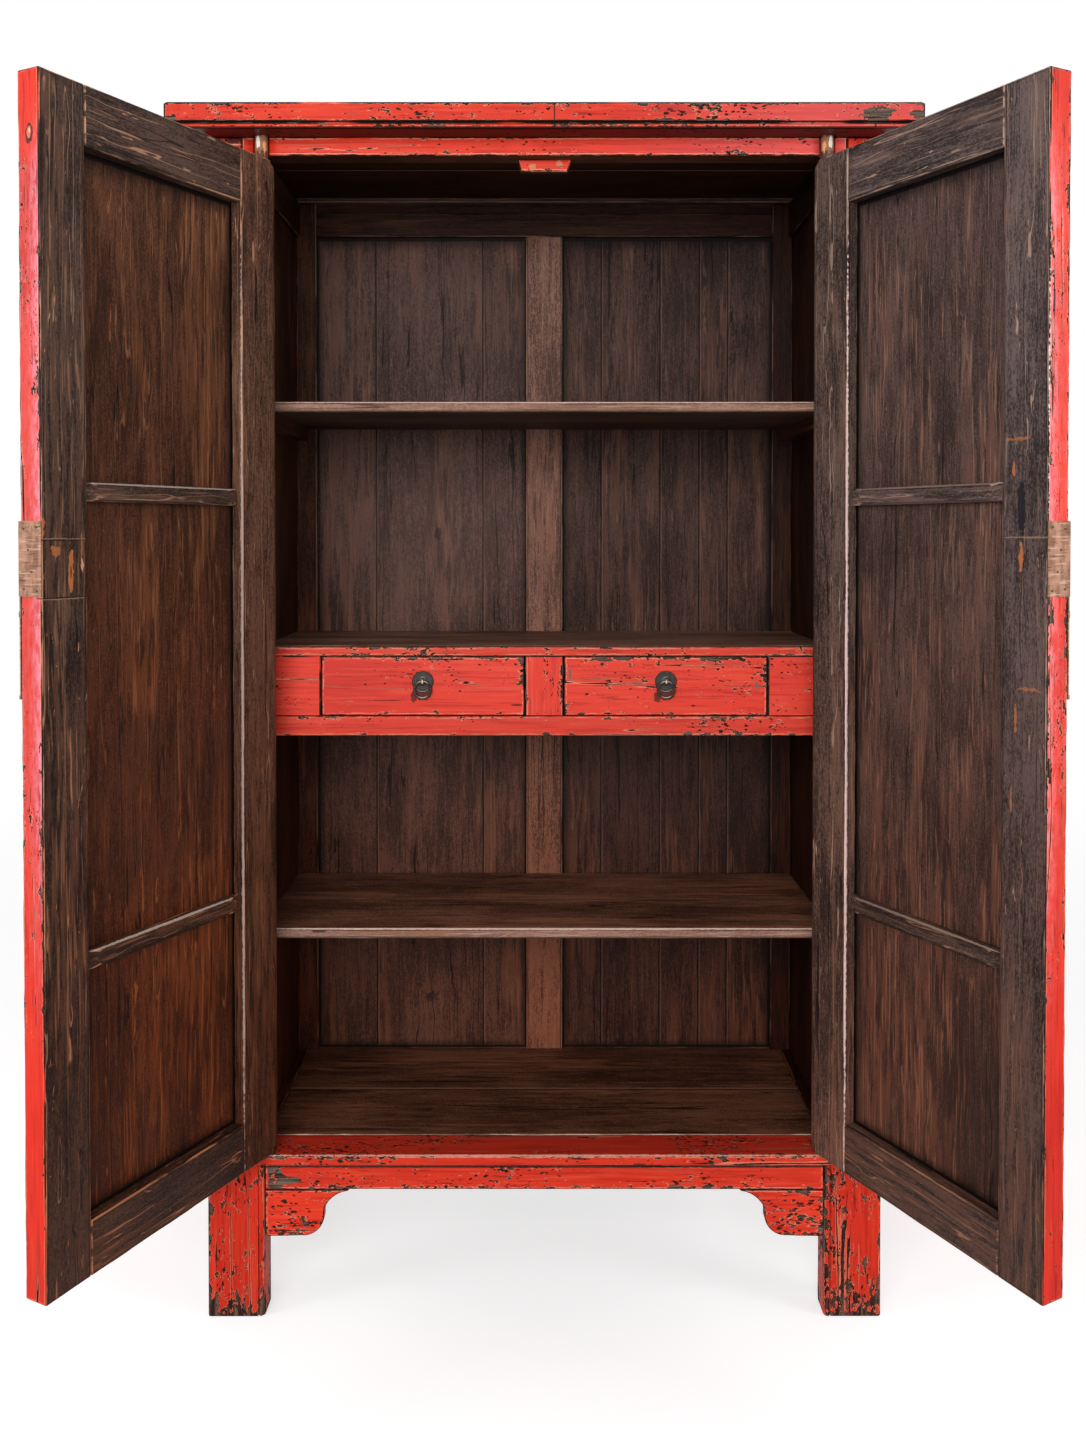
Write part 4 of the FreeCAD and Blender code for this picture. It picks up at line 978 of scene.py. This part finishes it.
gouge = (0.42, 0.135, 0.045)
scribe = (0.3, 0.18, 0.12)
lineShade = (0.006, 0.003, 0.002)
lockMarks = {
    "left": (
        edgeMark(1.8, 1646.7, 6.2, 12, void, 0.6),
        edgeMark(1.6, 1648.5, 3.6, 7.4, (0.62, 0.17, 0.08), 0.6),
        # a painted highlight on the knot
        edgeMark(2.4, 1650, 1.2, 2.6, (0.85, 0.5, 0.4), 0.6),
        edgeMark(-6.2, 1695, 0.6, 24, void, 0.9),
        edgeMark(2.6, 1724, 0.6, 14, void, 0.9),
        faceMark(372.6, 1130.4, 3.8, 28, gouge),
        faceMark(372.6, 1129, 0.8, 10, (0.01, 0.005, 0.004)),
        faceMark(355.2, 1135.1, 2, 9, (0.62, 0.3, 0.17)),
        faceMark(356, 1162, 1.2, 20, gouge, 2.2, 0.6),
        faceMark(396, 1154, 6, 5, gouge, 3.4, 0.7),
        faceMark(415, 1183, 3, 12, gouge, 2.8, 0.7),
        faceMark(390, 1168, 40, 1.1, scribe, 2.0, 0.6),
        faceMark(390, 1166.8, 40, 0.9, lineShade, 1.2),
        faceMark(390, 1096.2, 40, 1.1, scribe, 2.0, 0.6),
        faceMark(390, 1097.4, 40, 0.9, lineShade, 1.2),
    ),
    "right": (
        edgeMark(6, 1702, 0.6, 30, void, 0.9),
        edgeMark(12, 1725, 0.6, 16, void, 0.9),
        mark((0.4175, 0.0172, 1.34), (0.0018, 0.0018, 0.32), (0.82, 0.62, 0.68), 1.2),
        faceMark(378, 1205, 6, 30, (0.01, 0.009, 0.012)),
        faceMark(365.6, 1251.8, 2.2, 9, gouge, 1.8, 0.8),
        faceMark(372, 1289, 12, 2, gouge, 3.2, 0.55),
        faceMark(390, 986.9, 14, 2, gouge, 3.2, 0.55),
        faceMark(370, 948.8, 1.6, 14, gouge, 2.4, 0.7),
        faceMark(364, 848.9, 1.4, 16, gouge, 2.4, 0.6),
        faceMark(377, 1145.1, 3, 20, gouge),
        faceMark(390, 1170, 40, 1.1, scribe, 2.0, 0.6),
    ),
}
# The upper pivots are rubbed bare in their notches and carry a painted highlight, and the hinge stiles' arris
# beside the panel is rubbed bright
pivotMarks = (
    mark((0.004, 0.003, 1.748), (0.012, 0.012, 0.013), (0.36, 0.15, 0.075)),
    # a painted highlight on the pivot
    mark((0.008, 0.001, 1.75), (0.004, 0.003, 0.01), (0.86, 0.78, 0.72), 0.9),
    mark((0.003, 0.0075, 1.744), (0.003, 0.003, 0.009), (0.8, 0.36, 0.16), 0.9),
)
stileEdge = frameBox("left_door_hinge_stile")[1].x
arrisLines = {"left": ((0.4, 0.29, 0.25), 0.8, 0.8), "right": ((0.74, 0.52, 0.5), 0.9, 0.9)}
# a painted shade across the middle of the left door's panel
panelMarks = {"left": (stainAndShade((0.206, 0.0, 0.82), (0.17, 0.05, 0.12), 0.24),), "right": ()}
battenTops = (0.6535, 1.237)
battenShades = {"left": (0.46, 0.37, 0.32), "right": (0.26, 0.17, 0.13)}
doorTones = {"left": ("door", "panel", "hinge"), "right": ("greyDoor", "greyPanel", "greyHinge")}
doorPieces = {"hinge_stile": "up", "lock_stile": "up", "top_rail": "across", "bottom_rail": "across"}


def finishDoors():
    for number, side in enumerate(sides):
        seed = 60 + 10 * number
        doorTone, panelTone, hingeTone = doorTones[side]
        arrisLine = mark((stileEdge, 0.018, 0.9), (0.0012, 0.004, 0.72), *arrisLines[side])
        marksOf = {"lock_stile": lockMarks[side], "hinge_stile": (arrisLine,) + pivotMarks}
        for piece, grain in doorPieces.items():
            seed += 1
            node = side + "_door_" + piece
            tone = hingeTone if piece == "hinge_stile" else doorTone
            material = doorMaterial(node, grain, seed, tone, marksOf.get(piece, ()))
            wornCopy(node, material, 0.002)
        node = side + "_door_panel"
        opening = {
            "X": (stileEdge, frameBox(side + "_door_lock_stile")[0].x),
            "Z": (frameBox(side + "_door_bottom_rail")[1].z, frameBox(side + "_door_top_rail")[0].z),
        }
        paint(node, doorMaterial(node, "up", seed + 1, panelTone, panelMarks[side], opening))
        line = ((0.17, 0.0024, 0.0014), battenShades[side], 0.9, 0.75)  # a lit line on each batten's top
        marks = [mark((0.206, 0.0105, rise), *line) for rise in battenTops]
        woodPiece(side + "_door_battens", "across", seed + 2, doorTone, "door_panel_wood", marks=marks)


# Chips and stains on the drawer fronts, with grime behind each ring and a painted shadow beside it, in
# millimetres: away from the middle, upwards, half width, half height
greyCoat = lacquerLook["greyCoat"]
frontMarks = {
    "left": (
        (-20.4, 18.6, 6, 1, void), (-58.7, -22.1, 25, 0.6, void),
        (-88, 2.8, 2.2, 1.6, void), (-58.5, 4, 1.6, 1.3, void),
        (57, -7.5, 2.4, 1.4, void), (144.2, -29.1, 9, 1.2, void),
        (-146, 0, 7, 40, None), (149, 0, 6, 40, None),
        (-50, -40, 20, 5, None), (10, -40, 15, 5, None),
    ),
    "right": (
        (-88.2, 8.3, 4.5, 1.4, void), (-44.6, 4, 8, 1.8, greyCoat),
        (-120.8, -12.2, 2.8, 1.8, void), (-97.5, 33.5, 3, 2.6, void),
        (42.1, -30.1, 3.4, 1.4, void), (139.4, 0.6, 2.8, 6, greyCoat),
        (-146.9, 18.6, 2.2, 9, greyCoat), (67.7, 39, 11, 4, None),
        (-100, 40, 22, 5, None), (150, 0, 6, 40, None),
        (20, -40, 50, 5, None),
    ),
}
ringGrimeAndShadow = (
    (0, -12.5, 11.5, 8.8, (0.045, 0.024, 0.018)),
    # a painted shadow left of the ring
    (-13.5, -16.5, 5, 8.5, (0.1, 0.016, 0.012)),
)


def drawerMarks(side):
    middle, low = middleOf(side + "_drawer_front"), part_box(side + "_drawer_front")[0]
    marks = []
    for *spans, colour in frontMarks[side] + ringGrimeAndShadow:
        away, up, width, height = (span / 1000 for span in spans)
        at, size = (middle.x + away, low.y, middle.z + up), (width, 0.006, height)
        marks.append(mark(at, size, colour, 0.9) if colour else bareSpot(at, size, 0.22))
    return marks


def finishDrawers():
    for number, side in enumerate(sides):
        redPiece(side + "_drawer_front", "across", 80 + number, 0.0014, chips=(-0.014, 0.35, 0.6),
                 redSide=forward, tone="box", outline=0.0008, pale=caseFade, marks=drawerMarks(side))
        for piece, grain, seed in (("_drawer_box", "back", 83), ("_drawer_bottom", "across", 85)):
            paint(side + piece, woodMaterial(side + piece, grain, seed + number, "box"))


# Metal: dark iron pulls with a painted highlight on their faces that look up and forward, and browned brass plates
metalLooks = {
    # rub: the strength of the painted highlight on faces that look up and forward
    "iron": {
        "base": (0.012, 0.009, 0.008), "bloom": (0.036, 0.024, 0.018), "bright": (0.62, 0.42, 0.33),
        "rub": 0.95, "scrape": 0.05, "roughness": 0.38, "metallic": 0.1, "brush": (1.0, 1.0, 0.07),
    },
    "brass": {
        "base": (0.33, 0.172, 0.11), "bloom": (0.2, 0.1, 0.062), "bright": (0.58, 0.4, 0.3),
        "rub": 0.0, "scrape": 0.45, "roughness": 0.48, "metallic": 0.75, "brush": (0.07, 0.07, 1.0),
    },
}


def metalMaterial(name, lookName, marks=(), turned=False):
    look = metalLooks[lookName]
    material = newTree(name)
    place = addNode("TexCoord").outputs["Object"]
    cloud = grained(place, 0.5, 85.0, 4.0, 0.65)
    scrape = noise(shift("MULTIPLY", place, look["brush"]), 420.0, 2.0, 0.6)
    colour = tint(fade(cloud, 0.4, 0.6), look["base"], look["bloom"])
    colour = tint(fade(scrape, 0.57, 0.66, look["scrape"]), colour, look["bright"])
    colour = tint(fade(scrape, 0.4, 0.33, 0.6), colour, (0.03, 0.018, 0.012))
    # a painted highlight on the faces that look up and forward
    rubbedAndHighlight = fade(alignment((0.0, -0.75, 0.66)), 0.86, 0.98, look["rub"])
    colour = tint(rubbedAndHighlight, colour, look["bright"])
    if turned:
        colour = turnedRings(place, colour)
    colour = addMarks(place, colour, marks)
    rough = scaled(cloud, 0.35, look["roughness"] - 0.15)
    closeMaterial((colour, rough, scrape), 0.0003, 0.35, 0.3, look["metallic"])
    return material


plateRings = {"wave": 2 * math.pi / 0.0034, "shade": (0.004, 0.003, 0.003), "crest": (0.095, 0.07, 0.058)}


def turnedRings(place, colour):  # the two pull plates have turned rings, and lie as mirror images
    middle = middleOf("right_drawer_pull_plate")
    spots = axes(place)
    across = minus(calc("ABSOLUTE", spots["X"]), middle.x)
    up = minus(spots["Z"], middle.z)
    reach = lengthOf(vectorOf(X=across, Z=up))
    wave = calc("SINE", times(reach, plateRings["wave"]))
    colour = tint(fade(wave, 0.0, -0.7, 0.85), colour, plateRings["shade"])
    return tint(fade(wave, 0.75, 1.0, 0.6), colour, plateRings["crest"])


def eyeHighlights():  # a painted highlight on the front of each eye that carries a ring
    marks = []
    for side in sides:
        node = side + "_drawer_pull_plate"
        at = (middleOf(node).x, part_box(node)[0].y, middleOf(node).z + 0.0006)
        marks.append(mark(at, (0.0024, 0.0034, 0.0028), (0.8, 0.56, 0.46), 0.4))
    return marks


# Nails that hold the lock plates' tabs on the doors' free edges: inward, and share of the tab's height
tabNails = {
    "head": 0.0017,
    "rise": 0.26,
    "spots": ((-0.011, 0.1), (-0.011, 0.9), (0.011, 0.08), (0.011, 0.92), (0.002, 0.33), (-0.004, 0.62)),
}


def addTabNails(side, material):
    node = side + "_door_lock_plate"
    free = frameBox(node)[1].x
    tab = [spot.z for spot in nodePlaces(node) if spot.x > free - 0.0005]
    bottom, top = min(tab), max(tab)
    form = bmesh.new()
    for inward, share in tabNails["spots"]:
        place = Matrix.Translation((free, inward, bottom + (top - bottom) * share))
        shape = Matrix.Diagonal((tabNails["rise"], 1.0, 1.0, 1.0))
        bmesh.ops.create_uvsphere(form, u_segments=14, v_segments=8, radius=tabNails["head"],
                                  matrix=place @ shape)
    for face in form.faces:
        face.smooth = True
    form.transform(doorFrame(side).inverted())
    bmesh.ops.recalc_face_normals(form, faces=form.faces[:])
    nails = placeForm(form, side + "_tab_nails", material)
    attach(nails, bodyOf[node])


def finishMetal():
    iron = metalMaterial("iron", "iron")
    plateIron = metalMaterial("plate_iron", "iron", eyeHighlights(), turned=True)
    brass = metalMaterial("brass", "brass")
    for side in sides:
        paint(side + "_drawer_pull_plate", plateIron)
        paint(side + "_drawer_pull_ring", iron)
        paint(side + "_door_lock_plate", brass)
        addTabNails(side, iron)


finishSides()
finishFront()
finishBoards()
finishBack()
print("case finished")
finishDoors()
finishDrawers()
finishMetal()
print("finishes placed")


# Studio: white surroundings, a floor that keeps the shadow, and soft lamps
studio = {
    "floorSize": 30.0,
    "skyStrength": 0.5,
    "floorGlow": 0.55,
    "floorShade": 0.62,
    "floorBounce": 0.55,
    "fade": (1.3, 4.5),  # where the floor turns into the white background
}
lamps = {
    "front": {"place": (-0.7, -3.7, 2.05), "aim": (0, 0, 1.05), "size": (2.8, 1.8), "power": 114.0},
    "left": {"place": (-3.4, -1.5, 2.0), "aim": (-0.4, -0.2, 1.2), "size": (1.0, 2.0), "power": 31.0},
    "right": {"place": (3.4, -1.5, 2.0), "aim": (0.4, -0.2, 1.2), "size": (1.0, 2.0), "power": 37.0},
}
cameraView = {
    "place": (-0.00075, -1.86327, 1.17404),
    "tilt": 89.05,
    "lens": 30.852,
    "shift": (-0.0006, -0.117),
}


def directView():  # 1 for what the camera sees itself, in a reflection or through glass
    path = addNode("LightPath").outputs
    seen = larger(path["Is Camera Ray"], path["Is Glossy Ray"])
    return larger(seen, path["Is Transmission Ray"])


def grey(value):
    return (value, value, value, 1)


def makeFloor():
    form = bmesh.new()
    bmesh.ops.create_grid(form, x_segments=1, y_segments=1, size=studio["floorSize"] / 2)
    material = newTree("floor")
    bounce = addNode("BsdfDiffuse", {"Color": grey(studio["floorBounce"])})
    shade = addNode("BsdfDiffuse", {"Color": grey(studio["floorShade"])})
    glow = addNode("Emission", {"Color": grey(1), "Strength": studio["floorGlow"]})
    near = addNode("AddShader", {0: shade.outputs[0], 1: glow.outputs[0]})
    white = addNode("Emission", {"Color": grey(1), "Strength": 1.0})
    away = lengthOf(addNode("TexCoord").outputs["Object"])
    far = fade(away, *studio["fade"])
    seen = addNode("MixShader", {0: far, 1: near.outputs[0], 2: white.outputs[0]})
    mix = addNode("MixShader", {0: directView(), 1: bounce.outputs[0], 2: seen.outputs[0]})
    link(mix.outputs[0], addNode("OutputMaterial").inputs[0])
    floor = placeForm(form, "floor", material)


def makeWorld():
    world = bpy.data.worlds.new("studio")
    bpy.context.scene.world = world
    world.use_nodes = True
    world.node_tree.nodes.clear()
    drawing["tree"] = world.node_tree
    power = addNode("MapRange", {"Value": directView(), "To Min": studio["skyStrength"], "To Max": 1.0})
    sky = addNode("Background", {"Color": grey(1), "Strength": power.outputs[0]})
    link(sky.outputs[0], addNode("OutputWorld").inputs[0])


def makeLamps():
    for name, setting in lamps.items():
        light = bpy.data.lights.new(name + "Lamp", "AREA")
        light.shape = "RECTANGLE"
        light.size, light.size_y = setting["size"]
        light.energy = setting["power"]
        lamp = bpy.data.objects.new(name + "Lamp", light)
        lamp.location = setting["place"]
        lamp.rotation_euler = (Vector(setting["aim"]) - lamp.location).to_track_quat("-Z", "Y").to_euler()
        bpy.context.scene.collection.objects.link(lamp)


def makeCamera():
    lens = bpy.data.cameras.new("camera")
    lens.sensor_width = 36.0
    lens.lens = cameraView["lens"]
    lens.shift_x, lens.shift_y = cameraView["shift"]
    camera = bpy.data.objects.new("camera", lens)
    camera.location = cameraView["place"]
    camera.rotation_euler = Euler((math.radians(cameraView["tilt"]), 0.0, 0.0))
    bpy.context.scene.collection.objects.link(camera)
    bpy.context.scene.camera = camera


makeFloor()
makeWorld()
makeLamps()
makeCamera()
bpy.context.scene.view_settings.view_transform = "Standard"
print("studio ready")
